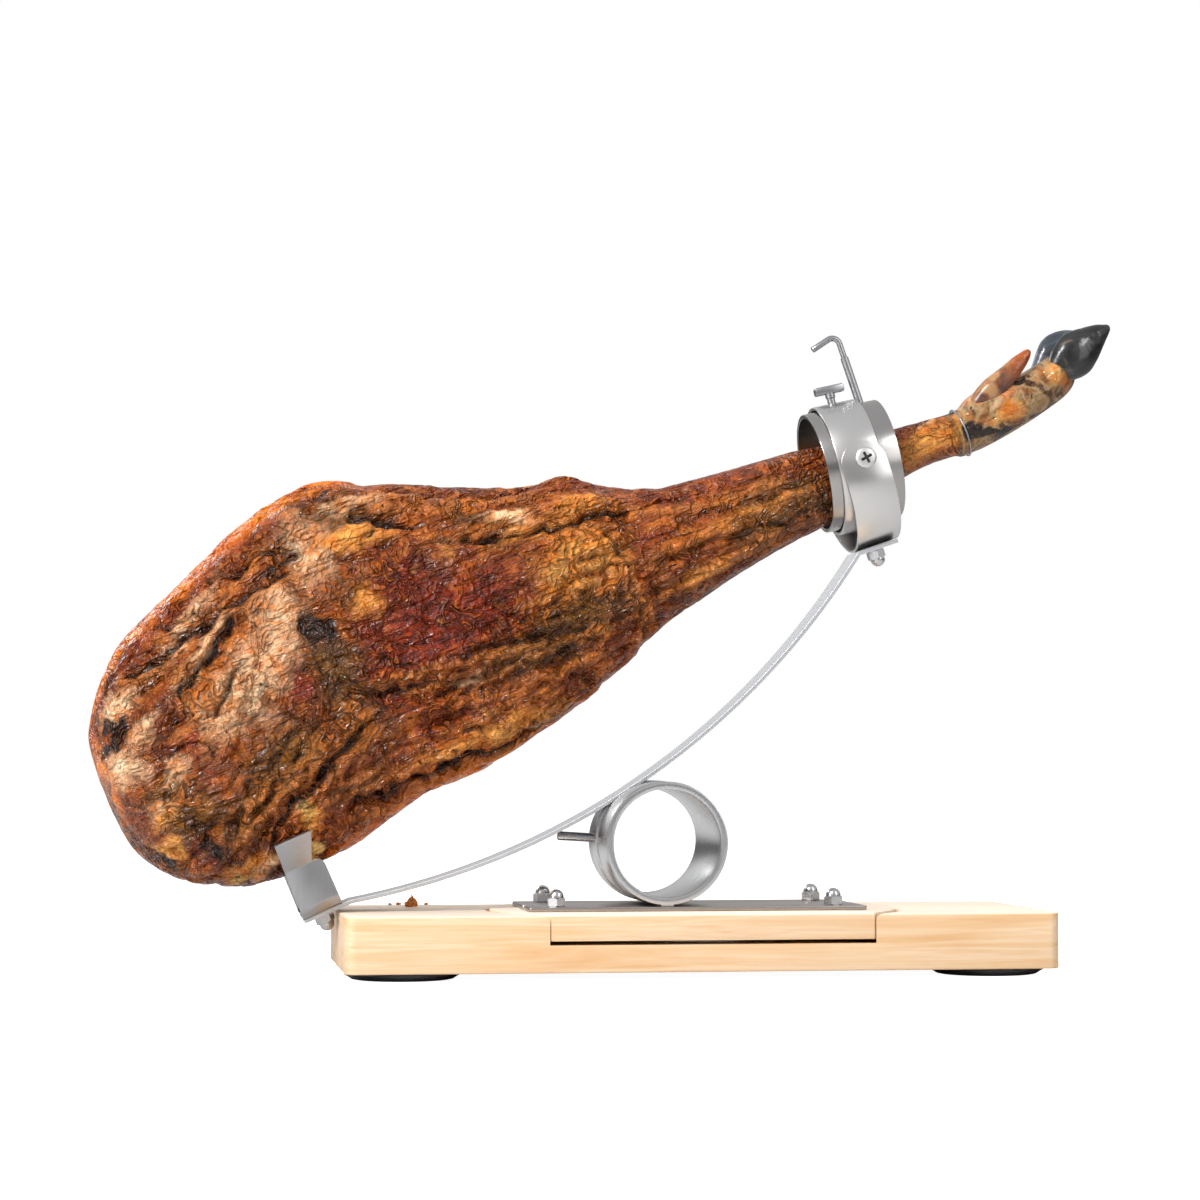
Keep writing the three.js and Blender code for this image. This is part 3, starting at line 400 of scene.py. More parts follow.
STEEL = steel_finish("Brushed steel", (0.56, 0.56, 0.57), 0.26)
# Lit and shaded copies of one brushed steel: the bands and yoke are painted lighter for the light on their
# tops, and the ring is painted darker for its shade.
HEAD_STEEL_LIT = steel_finish("Brushed steel bands", (0.65, 0.635, 0.625), 0.29)
RING_STEEL_SHADED = steel_finish("Brushed steel ring", (0.40, 0.385, 0.375), 0.25)
BAR_STEEL = steel_finish("Brushed steel bar", (0.62, 0.63, 0.65), 0.42)
PLATE_STEEL = steel_finish("Brushed steel plate", (0.42, 0.38, 0.36), 0.32, 0.3, (0.05, 1, 1))
POLISHED = steel_finish("Polished steel", (0.56, 0.56, 0.57), 0.24)
DARK_STEEL = steel_finish("Dark polished steel", (0.36, 0.36, 0.375), 0.34)
SCREW_STEEL = steel_finish("Screw steel", (0.66, 0.65, 0.64), 0.42)
WOOD = wood_finish("Pale pine")
RUBBER = rubber_finish()


# Camera and light.

CAMERA = {"place": (-407, -2391, 161), "yaw": 8.08, "pitch": 3.03, "lens": 93, "sensor": 36}
# Brightness of the room, the same again for what steel mirrors, and of the floor towards the camera.
ROOM_LIGHT = 0.42
FLOOR_GLOW = 0.97
# Brightness of the room by height, from the floor at 0 to the ceiling at 1.
ROOM_SHADES = [(0.0, (0.10, 0.095, 0.09)), (0.11, (0.16, 0.16, 0.16)), (0.19, (0.95, 0.95, 0.95)),
               (0.50, (0.70, 0.70, 0.70)), (1.0, (0.85, 0.86, 0.88))]
# Panels: name, place, width and height in metres, watts, and whether they show in mirrors.
PANELS = [
    ("key_light", (-1.5, -1.4, 1.6), (0.7, 0.7), 34, True),
    ("fill_light", (1.7, -2.0, 0.9), (1.0, 1.2), 8, True),
    ("left_light", (-2.1, -1.2, 0.75), (0.8, 1.0), 20, True),
    ("top_light", (0.0, 0.0, 2.1), (1.4, 0.7), 27, False),
    ("glint_left", (-0.9, -1.1, 1.5), (0.22, 0.22), 12, True),
    ("glint_right", (1.1, -1.3, 1.4), (0.3, 0.3), 5, True),
    ("back_light", (-1.2, 1.5, 1.2), (0.8, 0.8), 10, True),
]
PANEL_TARGET = (-0.05, 0, 0.25)


def aim(thing, direction):
    thing.rotation_euler = Vector(direction).to_track_quat("-Z", "Y").to_euler()


def add_camera():
    """Camera at the place and angle of the photograph."""
    yaw, pitch = math.radians(CAMERA["yaw"]), math.radians(CAMERA["pitch"])
    x, y, z = CAMERA["place"]
    data = bpy.data.cameras.new("Camera")
    camera = bpy.data.objects.new("Camera", data)
    bpy.context.scene.collection.objects.link(camera)
    camera.location = ((x + FRAME_X) * MM, y * MM, z * MM)
    aim(camera, (math.sin(yaw) * math.cos(pitch), math.cos(yaw) * math.cos(pitch), math.sin(pitch)))
    data.lens = CAMERA["lens"]
    data.sensor_width = CAMERA["sensor"]
    data.clip_end = 60
    bpy.context.scene.camera = camera


def add_panel(name, place, size, power, mirrored):
    data = bpy.data.lights.new(name, "AREA")
    data.shape = "RECTANGLE"
    data.size, data.size_y = size
    data.energy = power
    light = bpy.data.objects.new(name, data)
    bpy.context.scene.collection.objects.link(light)
    light.location = place
    light.visible_glossy = mirrored
    aim(light, Vector(PANEL_TARGET) - Vector(place))


def add_surroundings():
    """Pale floor, room and light panels."""
    deselect()
    bpy.ops.mesh.primitive_plane_add(size=40, location=(0, 0, 0))
    floor = named("studio_floor")
    f = Finish("Pale studio floor")
    tone = f.noise(1.2, 2)
    shade = f.mix(tone, (0.60, 0.60, 0.60), (0.64, 0.64, 0.64))
    # The floor glows only towards the camera, so it looks white without lighting the ham from below.
    seen = f.add("ShaderNodeLightPath").outputs["Is Camera Ray"]
    floor.data.materials.append(f.done(shade, 0.8, **{"Emission Color": (1, 1, 1, 1)}))
    f.link(f.math("MULTIPLY", seen, FLOOR_GLOW), f.shader.inputs["Emission Strength"])
    # The glow is not a lamp, so no light is sampled from it.
    floor.data.materials[0].cycles.emission_sampling = "NONE"
    scene = bpy.context.scene
    scene.view_settings.view_transform = "Standard"
    scene.view_settings.look = "None"
    world = bpy.data.worlds.new("Studio")
    scene.world = world
    world.use_nodes = True
    tree = world.node_tree
    link = tree.links.new
    room = tree.nodes["Background"]
    white = tree.nodes.new("ShaderNodeBackground")
    white.inputs["Color"].default_value = (1, 1, 1, 1)
    white.inputs["Strength"].default_value = 1.0
    chooser = tree.nodes.new("ShaderNodeMixShader")
    path = tree.nodes.new("ShaderNodeLightPath")
    coordinate = tree.nodes.new("ShaderNodeTexCoord")
    split = tree.nodes.new("ShaderNodeSeparateXYZ")
    ramp = tree.nodes.new("ShaderNodeValToRGB")
    link(coordinate.outputs["Generated"], split.inputs[0])
    link(split.outputs["Z"], ramp.inputs["Fac"])
    # A dark band at eye level under a light wall and ceiling gives the steel its contrast.
    elements = ramp.color_ramp.elements
    while len(elements) < len(ROOM_SHADES):
        elements.new(0.5)
    for element, (height, shade) in zip(elements, ROOM_SHADES):
        element.position = height
        element.color = (*shade, 1)
    link(ramp.outputs["Color"], room.inputs["Color"])
    # Mirrored in steel, the room looks as bright as the white studio that it stands for.
    gleam = tree.nodes.new("ShaderNodeMath")
    gleam.operation = "MULTIPLY_ADD"
    link(path.outputs["Is Glossy Ray"], gleam.inputs[0])
    gleam.inputs[1].default_value = ROOM_LIGHT
    gleam.inputs[2].default_value = ROOM_LIGHT
    link(gleam.outputs[0], room.inputs["Strength"])
    link(path.outputs["Is Camera Ray"], chooser.inputs[0])
    link(room.outputs[0], chooser.inputs[1])
    link(white.outputs[0], chooser.inputs[2])
    link(chooser.outputs[0], tree.nodes["World Output"].inputs["Surface"])
    for panel in PANELS:
        add_panel(*panel)


add_camera()
add_surroundings()


# Board, turntable and plate.

def make_board():
    """Board with its round pocket, the turntable disc in it, and the pads under it."""
    board = block("board", BOARD["left"], BOARD["right"], -BOARD["depth"] / 2, BOARD["depth"] / 2,
                  BOARD["low"], BOARD["top"])
    edit(board)
    bpy.ops.mesh.select_mode(type="EDGE")
    bpy.ops.mesh.select_all(action="DESELECT")
    bpy.ops.object.mode_set(mode="OBJECT")
    points = board.data.vertices
    for edge in board.data.edges:
        a, b = (points[index].co for index in edge.vertices)
        edge.select = abs(a.z - b.z) > 0.01
    bpy.ops.object.mode_set(mode="EDIT")
    bpy.ops.mesh.bevel(offset=BOARD["corner"] * MM, segments=10, affect="EDGES")
    bpy.ops.mesh.select_mode(type="VERT")
    close_up()
    bevelled(board, 1.4, 3, 50)
    wall, lip = POCKET["radius"], POCKET["lip"]
    profile = [(0, POCKET["floor"]), (wall, POCKET["floor"])]
    profile += [(wall + lip * (1 - math.cos(a)), BOARD["top"] + 0.1 - lip * (1 - math.sin(a)))
                for a in np.linspace(0, math.pi / 2, 8)]
    pocket = turned("pocket", profile + [(wall + lip, 60), (0, 60)], 160)
    settle(pocket, at(PIVOT_X, 0, 0))
    cut(board, pocket)
    smooth(board)
    settle(board, at(FRAME_X, 0, 0))
    mount(board, "base", ["board"], WOOD)

    disc = turned("turntable_disc", [
        (0, DISC["low"]), (DISC["radius"] - 0.5, DISC["low"]), (DISC["radius"], DISC["low"] + 0.5),
        (DISC["radius"], DISC["top"] - 1.2), (DISC["radius"] - 0.4, DISC["top"] - 0.3),
        (DISC["radius"] - 1.2, DISC["top"]), (0, DISC["top"]),
    ], 160)
    settle(disc, at(PIVOT_X, 0, 0))
    flush = BOARD["depth"] / 2 - 0.2
    cut(disc, block("flush", -400, 400, -flush, flush, 0, 100), "INTERSECT")
    bevelled(disc, 0.8, 2, 60)
    settle(disc, at(FRAME_X, 0, 0))
    mount(disc, "turntable", ["turntable_disc"], wood_finish("Pale pine disc"))

    for side, row in ((-1, -1), (-1, 1), (1, -1), (1, 1)):
        name = "pad_" + ("front" if row < 0 else "rear") + ("_left" if side < 0 else "_right")
        radius, foot = PAD["radius"], PAD["foot"]
        pad = turned(name, [
            (0, 0), (foot - 1, 0), (foot + 1.5, 0.5), (radius - 2.5, 2.4), (radius - 0.6, 3.4),
            (radius, 4.6), (radius, 5.5), (radius - 0.3, 5.7), (0, 5.7),
        ], 72)
        end = BOARD["left"] if side < 0 else BOARD["right"]
        pad_x = end - side * PAD["inset_x"] + FRAME_X
        pad_y = row * (BOARD["depth"] / 2 - PAD["inset_y"])
        settle(pad, at(pad_x, pad_y, 0))
        mount(pad, "base", [name], RUBBER)


def make_plate():
    """Steel plate on the disc and the four cap nuts that hold it."""
    left, right, front, rear, notch = (PLATE[key] for key in ("left", "right", "front", "rear", "notch"))
    notch_from = front + 34
    outline = [(left + 1.5, front), (right - 1.5, front), (right, front + 1.5), (right, rear - 1.5),
               (right - 1.5, rear), (left + 1.5, rear), (left, rear - 1.5), (left, notch_from + 2 * notch),
               (left + notch, notch_from + 1.5 * notch), (left + notch, notch_from + 0.5 * notch),
               (left, notch_from), (left, front + 1.5)]
    plate = prism("base_plate", [(x, -y) for x, y in outline], PLATE["low"], PLATE["top"])
    settle(plate, turn(math.pi / 2, "X"))
    low = min(vertex.co.z for vertex in plate.data.vertices)
    settle(plate, at(FRAME_X, 0, 0) @ Matrix.Translation((0, 0, PLATE["low"] * MM - low)))
    edit(plate)
    close_up()
    bevelled(plate, 0.5, 2)
    mount(plate, "turntable", ["base_plate"], PLATE_STEEL)
    for side, row in ((-1, -1), (-1, 1), (1, -1), (1, 1)):
        name = "plate_nut_" + ("front" if row < 0 else "rear") + ("_left" if side < 0 else "_right")
        nut = make_cap_nut(name)
        settle(nut, at(NUT_MIDDLE[0] + side * NUT_SPREAD[0] + FRAME_X, NUT_MIDDLE[1] + row * NUT_SPREAD[1],
                       PLATE["top"] + GAP) @ turn(side * 0.35 + row * 0.2, "Z"))
        mount(nut, "turntable", [name], POLISHED)


def make_cap_nut(name):
    """Cap nut standing on Z = 0: a hexagon with its corners turned off, and a dome."""
    corner = NUT["flats"] / math.sqrt(3)
    tall, radius, shoulder = NUT["hexagon"], NUT["dome"], NUT["shoulder"]
    hexagon = [(corner * math.cos(i * math.pi / 3), corner * math.sin(i * math.pi / 3)) for i in range(6)]
    nut = prism(name, hexagon, 0, tall)
    settle(nut, turn(math.pi / 2, "X"))
    rounding = turned("rounding", [(0, 0), (corner - 0.9, 0), (corner, 0.7), (corner, tall - 0.9),
                                   (corner - 1.2, tall), (0, tall)], 64)
    cut(nut, rounding, "INTERSECT")
    dome = [(0, 3), (radius, 3), (radius, shoulder)]
    for i in range(1, 10):
        angle = i * math.pi / 20
        dome.append((radius * math.cos(angle), shoulder + NUT["rise"] * math.sin(angle)))
    dome.append((0, NUT["top"]))
    cut(nut, turned("dome", dome, 48), "UNION")
    edit(nut)
    close_up()
    return smooth(nut, 24)


# Tube, collar and lock pin.

def along_y(x, z):
    """Place of a piece turned round Z that belongs on an axis along Y."""
    return at(x + FRAME_X, 0, z) @ turn(-math.pi / 2, "X")


def make_tube():
    """Short tube welded on the plate, with the spacer, the collar that tilts on it and the lock pin."""
    front, rear = TUBE["front"], TUBE["rear"]
    outer, inner, sleeve = TUBE["outer"], TUBE["inner"], TUBE["sleeve"]
    tube = turned("pivot_tube", [
        (inner, front + 0.8), (inner + 0.3, front + 0.2), (inner + 0.9, front), (outer - 0.9, front),
        (outer - 0.3, front + 0.2), (outer, front + 0.8), (outer, RIM_REAR - 0.5), (outer - 0.5, RIM_REAR),
        (sleeve, RIM_REAR), (sleeve, rear - 0.4), (sleeve - 0.4, rear), (inner + 0.4, rear),
        (inner, rear - 0.4),
    ], 160)
    settle(tube, along_y(TUBE["x"], TUBE["z"]))
    middle, half = TUBE["x"] + FRAME_X, 4.8
    foot = block("weld_foot", middle - half, middle + half, front + 0.5, front + 44.5,
                 PLATE["top"] + GAP, TUBE["z"] - outer + 2)
    cut(tube, foot, "UNION")
    smooth(tube)
    mount(tube, "turntable", ["pivot_tube"], STEEL)

    spacer = turned("tube_spacer", [(sleeve + GAP, RIM_REAR + GAP), (SPACER_OUTER, RIM_REAR + GAP),
                                    (SPACER_OUTER, SPACER_REAR), (sleeve + GAP, SPACER_REAR)], 128)
    settle(spacer, along_y(TUBE["x"], TUBE["z"]))
    mount(spacer, "turntable", ["tube_spacer"], RUBBER)

    inner, outer = sleeve + GAP, COLLAR["outer"]
    low, high = SPACER_REAR + GAP, COLLAR["rear"]
    collar = turned("tilt_collar", [
        (inner, low), (outer - 0.7, low), (outer - 0.2, low + 0.2), (outer, low + 0.7),
        (outer, high - 0.7), (outer - 0.2, high - 0.2), (outer - 0.7, high), (inner, high),
    ], 160)
    settle(collar, along_y(TUBE["x"], TUBE["z"]))
    seat = block("seat", -50, 50, -60, 60, 0, 50)
    settle(seat, at(TUBE["x"] + FRAME_X, 0, TUBE["z"]) @ turn(-BAR_AT_TUBE, "Y") @ at(0, 0, COLLAR["flat"]))
    cut(collar, seat)
    smooth(collar)
    mount(collar, "arm", ["tilt_collar"], STEEL)

    start, end, radius = sleeve + 2 * GAP, LOCK_PIN["end"], LOCK_PIN["radius"]
    pin = turned("lock_pin", [(0, start), (radius - 0.6, start), (radius, start + 0.6), (radius, end - 1),
                              (radius - 0.3, end - 0.3), (radius - 1, end), (0, end)], 40)
    pin_place = at(TUBE["x"] + FRAME_X, LOCK_PIN["y"], TUBE["z"]) @ turn(LOCK_PIN["tilt"], "Y")
    settle(pin, pin_place @ turn(-math.pi / 2, "Y"))
    mount(pin, "arm", ["lock_pin"], DARK_STEEL)


# Bar, cradle and head.

def yoke_point(x, z):
    lift_x = HEAD_AT[0] - YOKE_LIFT * math.sin(HEAD_TILT)
    lift_z = HEAD_AT[1] + YOKE_LIFT * math.cos(HEAD_TILT)
    return (lift_x + x * math.cos(YOKE_TILT) - z * math.sin(YOKE_TILT),
            lift_z + x * math.sin(YOKE_TILT) + z * math.cos(YOKE_TILT))


def along(start, distance, slope):
    return (start[0] + distance * math.cos(slope), start[1] + distance * math.sin(slope))


def bar_line(steps=90):
    """Side view of the bar's middle line: cradle tab, arc and head tab."""
    middle = BAR["radius"] - BAR["thickness"] / 2
    tab = yoke_point(YOKE["shift"], -(YOKE_BOTTOM + GAP + BAR["thickness"] / 2))
    dx, dz = tab[0] - BAR["x"], tab[1] - BAR["z"]
    half = dx * math.cos(YOKE_TILT) + dz * math.sin(YOKE_TILT)
    corner = along(tab, -half + math.sqrt(half * half - (dx * dx + dz * dz - middle * middle)), YOKE_TILT)
    low = math.radians(10.6)
    high = math.atan2(corner[0] - BAR["x"], BAR["z"] - corner[1])
    points = [along(CRADLE_AT, -CRADLE_TAB, CRADLE_SLOPE), along(CRADLE_AT, CRADLE_TAB * 0.8, CRADLE_SLOPE)]
    for i in range(steps + 1):
        angle = low + (high - low) * i / steps
        points.append((BAR["x"] + middle * math.sin(angle), BAR["z"] - middle * math.cos(angle)))
    points.append(along(tab, HEAD_TAB, YOKE_TILT))
    return points


def strip_outline(line, to_left, to_right):
    """Outline of a strip round a middle line."""
    left, right = [], []
    for i, point in enumerate(line):
        before, after = line[max(i - 1, 0)], line[min(i + 1, len(line) - 1)]
        in_x, in_z = point[0] - before[0], point[1] - before[1]
        out_x, out_z = after[0] - point[0], after[1] - point[1]
        in_length = math.hypot(in_x, in_z) or 1
        out_length = math.hypot(out_x, out_z) or 1
        dx, dz = in_x / in_length + out_x / out_length, in_z / in_length + out_z / out_length
        length = math.hypot(dx, dz)
        share = length / 2 if 0 < i < len(line) - 1 else 1
        nx, nz = -dz / length / share, dx / length / share
        left.append((point[0] + nx * to_left, point[1] + nz * to_left))
        right.append((point[0] - nx * to_right, point[1] - nz * to_right))
    return right + left[::-1]


def make_bar():
    """Long curved bar."""
    half = BAR["thickness"] / 2
    bar = prism("arm_bar", strip_outline(bar_line(), half, half), -BAR["width"] / 2, BAR["width"] / 2)
    bevelled(bar, 0.4, 2, 50)
    smooth(bar, 12)
    settle(bar, at(FRAME_X, 0, 0))
    mount(bar, "arm", ["arm_bar"], BAR_STEEL)


def cradle_line():
    """Middle line of the cradle's strip in Y and Z, from one flange to the other."""
    middle = CRADLE["half"] - CRADLE["thickness"] / 2
    bend = CRADLE["bend"] - CRADLE["thickness"] / 2
    side = []
    for i in range(13):
        angle = i / 12 * math.pi / 2
        side.append((middle - bend + bend * math.sin(angle),
                     CRADLE["thickness"] / 2 + bend - bend * math.cos(angle)))
    lean = CRADLE["lean"]
    soft = 3
    for i in range(6):
        angle = i / 5 * lean
        side.append((middle + soft * (1 - math.cos(angle)) * 1.6,
                     CRADLE["leg"] - soft * 0.5 + soft * math.sin(angle) * 1.1))
    side.append((middle + CRADLE["flare"] * math.tan(lean), CRADLE["leg"] + CRADLE["flare"]))
    return [(-y, z) for y, z in reversed(side)] + side


def strip_along_x(name, line, thickness, length):
    strip = prism(name, strip_outline(line, thickness / 2, thickness / 2), -length / 2, length / 2)
    settle(strip, turn(-math.pi / 2, "Z"))
    for vertex in strip.data.vertices:
        vertex.co.y = -vertex.co.y
    edit(strip)
    close_up()
    return strip


def make_cradle():
    """Bent steel cradle under the ham, and its nut."""
    length = CRADLE["length"] + 2 * FLANGE_SHIFT
    cradle = strip_along_x("cradle", cradle_line(), CRADLE["thickness"], length)
    half = CRADLE["length"] / 2
    neck, leg = CRADLE["length"] * 0.26, CRADLE["leg"]
    corner = [(half - 7 + 7 * math.sin(a), leg - 7 + 7 * math.cos(a))
              for a in np.linspace(math.pi / 2, 0, 9)]
    above = [(half - neck, leg), (half + FLANGE_SHIFT, leg + 27), (-half + FLANGE_SHIFT, leg + 27)]
    outline = [(-half, -5), (half, -5)] + corner + above
    cut(cradle, prism("side_view", outline, -90, 90), "INTERSECT")
    bevelled(cradle, 0.35, 2, 40)
    lift = BAR["thickness"] / 2 + GAP
    place = at(CRADLE_AT[0] + FRAME_X, 0, CRADLE_AT[1]) @ turn(-CRADLE_SLOPE, "Y")
    settle(cradle, place @ at(0, 0, lift))
    mount(cradle, "arm", ["cradle"], CRADLE_STEEL)
    nut = make_cap_nut("cradle_nut")
    settle(nut, place @ at(0, 0, -lift) @ turn(math.pi, "X"))
    mount(nut, "arm", ["cradle_nut"], POLISHED)


def make_head():
    """Ring and band round the shank, the two pivot screws and the thumb screw."""
    place = at(HEAD_AT[0] + FRAME_X, 0, HEAD_AT[1]) @ turn(-HEAD_TILT, "Y")
    along_x = turn(math.pi / 2, "Y")

    def band(name, inner, outer, left, right, edge=0.6):
        profile = [
            (inner, left + 0.3), (inner + 0.3, left), (outer - edge, left),
            (outer - edge * 0.3, left + edge * 0.3), (outer, left + edge), (outer, right - edge),
            (outer - edge * 0.3, right - edge * 0.3), (outer - edge, right), (inner + 0.3, right),
            (inner, right - 0.3),
        ]
        piece = turned(name, profile, 192)
        return settle(piece, place @ along_x)

    ring = band("head_ring", RING["inner"], RING["outer"], -RING["half"], RING["half"])
    mount(ring, "arm", ["head_ring"], RING_STEEL_SHADED)
    strap = band("head_band", BAND["inner"], BAND["outer"], BAND["left"], BAND["right"])
    mount(strap, "arm", ["head_band"], HEAD_STEEL_LIT)

    seat = YOKE["inner"] + YOKE["thickness"] + GAP
    low, stem_radius, head_radius = RING["outer"] + 0.6, 3.2, 8.2
    dome = [(0, low), (stem_radius, low), (stem_radius, seat), (head_radius - 0.5, seat),
            (head_radius, seat + 0.4)]
    dome += [(head_radius * math.cos(a) ** 0.7, seat + 0.5 + 2.1 * math.sin(a))
             for a in np.linspace(0.1, 1.5, 10)]
    dome.append((0, seat + 2.6))
    for name, side in (("pivot_screw_front", 1), ("pivot_screw_rear", -1)):
        screw = turned(name, dome, 56)
        for angle in (CROSS["turn"], CROSS["turn"] + math.pi / 2):
            slot = block("slot", -CROSS["long"], CROSS["long"], -CROSS["wide"], CROSS["wide"],
                         seat + CROSS["floor"], seat + 6)
            settle(slot, turn(angle, "Z"))
            cut(screw, slot)
        smooth(screw, 30)
        # The floor and walls of the cross look black.
        cross = []
        for face in screw.data.polygons:
            height = face.center.z / MM - seat
            reach = math.hypot(face.center.x, face.center.y) / MM
            wall = 0.5 < height < 2.2 and reach < 4.7 and abs(face.normal.z) < 0.3
            if wall or abs(height - CROSS["floor"]) < 0.05:
                cross.append(face.index)
        settle(screw, place @ at(0, 0, YOKE_LIFT) @ turn(side * math.pi / 2, "X"))
        mount(screw, "arm", [name], SCREW_STEEL)
        screw.data.materials.append(RUBBER)
        for index in cross:
            screw.data.polygons[index].material_index = 1

    thumb = block("thumb_screw", -11.8, 11.8, -4.5, 4.5, BAND["outer"] + 7.9, BAND["outer"] + 14.3)
    bevelled(thumb, 1.3, 2, 40)
    stem_top = BAND["outer"] + 9.5
    stem_low, collar_low = RING["outer"] - 2, BAND["outer"] + 4
    stem = turned("stem", [(0, stem_low), (3.2, stem_low), (3.2, collar_low), (3.9, collar_low + 0.6),
                           (3.9, stem_top), (0, stem_top)], 40)
    cut(thumb, stem, "UNION")
    smooth(thumb, 30)
    settle(thumb, place @ at(THUMB_X, 0, 0))
    mount(thumb, "arm", ["thumb_screw"], DARK_STEEL)

    make_clamp_rod(place)
    make_yoke()


def make_clamp_rod(place):
    """Rod that presses on the shank: a thick lower part and a thinner bent handle."""
    lean = place @ at(ROD["at"], 0, RING["outer"]) @ turn(-ROD_LEAN, "Y")
    bend = 6
    straight = ROD["top"] - bend - ROD["radius"]
    points = [(0, ROD["sleeve_top"] - 4), (0, straight - 8), (0, straight)]
    for i in range(1, 9):
        angle = i / 8 * ROD_TURN
        points.append((-bend * (1 - math.cos(angle)), straight + bend * math.sin(angle)))
    end = along(points[-1], ROD["arm"], ROD_TURN + math.pi / 2)
    points += [along(points[-1], ROD["arm"] / 2, ROD_TURN + math.pi / 2), end]
    curve = bpy.data.curves.new("handle", "CURVE")
    curve.dimensions = "3D"
    curve.bevel_depth = ROD["radius"] * MM
    curve.bevel_resolution = 6
    curve.use_fill_caps = True
    spline = curve.splines.new("POLY")
    spline.points.add(len(points) - 1)
    for point, (x, z) in zip(spline.points, points):
        point.co = (x * MM, 0, z * MM, 1)
    handle = bpy.data.objects.new("handle", curve)
    bpy.context.scene.collection.objects.link(handle)
    deselect()
    handle.select_set(True)
    bpy.context.view_layer.objects.active = handle
    bpy.ops.object.convert(target="MESH")
    handle = named("clamp_rod")
    edit(handle)
    close_up()
    bevelled(handle, 0.5, 2, 60)
    sleeve, low, high = ROD["sleeve"], ROD["low"], ROD["sleeve_top"]
    rod = turned("rod", [(0, low), (sleeve - 0.5, low), (sleeve, low + 0.5), (sleeve, high - 0.4),
                         (sleeve - 0.4, high), (0, high)], 40)
    deselect()
    handle.select_set(True)
    rod.select_set(True)
    bpy.context.view_layer.objects.active = handle
    bpy.ops.object.join()
    settle(handle, lean)
    smooth(handle, 30)
    mount(handle, "arm", ["clamp_rod"], DARK_STEEL)


def make_yoke():
    """Fork that carries the ring, and its nut under the bar."""
    place = at(yoke_point(0, 0)[0] + FRAME_X, 0, yoke_point(0, 0)[1]) @ turn(-YOKE_TILT, "Y")
    half = YOKE["inner"] + YOKE["thickness"] / 2
    lug = 14
    line = [(half, lug + 2), (half, 0)]
    line += [(half * math.cos(a), -YOKE["drop"] - half * math.sin(a)) for a in np.linspace(0, math.pi, 61)]
    line += [(-half, 0), (-half, lug + 2)]
    yoke = strip_along_x("yoke", line, YOKE["thickness"], YOKE["width"])
    x = YOKE["width"] / 2
    outline = [(-x, -YOKE_BOTTOM - 5), (x, -YOKE_BOTTOM - 5)]
    outline += [(x * math.cos(a), lug - x + x * math.sin(a)) for a in np.linspace(0, math.pi, 41)]
    cut(yoke, prism("round_ends", outline, -90, 90), "INTERSECT")
    bevelled(yoke, 0.35, 2, 45)
    settle(yoke, place @ at(YOKE["shift"], 0, 0))
    mount(yoke, "arm", ["yoke"], HEAD_STEEL_LIT)
    nut = make_cap_nut("yoke_nut")
    seat = place @ at(YOKE_NUT_X, 0, -(YOKE_BOTTOM + BAR["thickness"] + 2 * GAP))
    settle(nut, seat @ turn(math.pi, "X") @ turn(math.pi / 6, "Z"))
    mount(nut, "arm", ["yoke_nut"], POLISHED)


# Ham and hoof.

def ham_place(p, q):
    """X and Z in millimetres of a point given along and across the ham."""
    c, s = math.cos(HAM_TILT), math.sin(HAM_TILT)
    return HAM_ORIGIN[0] + FRAME_X + p * c - q * s, HAM_ORIGIN[1] + p * s + q * c


def through(column, t):
    """Smooth curve through a column of the section table."""
    last = len(column) - 1
    index = np.minimum(np.floor(t).astype(int), last - 1)
    f = t - index
    v0, v1 = column[np.maximum(index - 1, 0)], column[index]
    v2, v3 = column[index + 1], column[np.minimum(index + 2, last)]
    return ((1 + 2 * f) * (1 - f) ** 2 * v1 + f * (1 - f) ** 2 * (v2 - v0) / 2
            + f * f * (3 - 2 * f) * v2 + f * f * (f - 1) * (v3 - v1) / 2)


def step(values, low, high):
    f = np.clip((values - low) / (high - low), 0, 1)
    return f * f * (3 - 2 * f)


def mound(p, q, at_p, at_q, along_radius, across_radius, angle=0.0):
    """Soft round patch, 1 in its middle."""
    dp, dq = p - at_p, q - at_q
    a = (dp * math.cos(angle) + dq * math.sin(angle)) / along_radius
    b = (dq * math.cos(angle) - dp * math.sin(angle)) / across_radius
    return np.exp(-(a * a + b * b))


def crease(p, q, line, width):
    """Soft line through (p, q) points, 1 on the line."""
    nearest = np.full(p.shape, 1e9)
    for (p0, q0), (p1, q1) in zip(line, line[1:]):
        length = (p1 - p0) ** 2 + (q1 - q0) ** 2
        share = np.clip(((p - p0) * (p1 - p0) + (q - q0) * (q1 - q0)) / length, 0, 1)
        nearest = np.minimum(nearest, np.hypot(p - p0 - share * (p1 - p0), q - q0 - share * (q1 - q0)))
    return np.exp(-(nearest / width) ** 2)


def field(points, octaves=3, seed=0.0):
    """Noise from about -1 to 1 at an array of points."""
    offset = Vector((seed, seed * 1.7, -seed))
    return np.array([noise.fractal(Vector(point) + offset, 1.0, 2.0, octaves) for point in points])
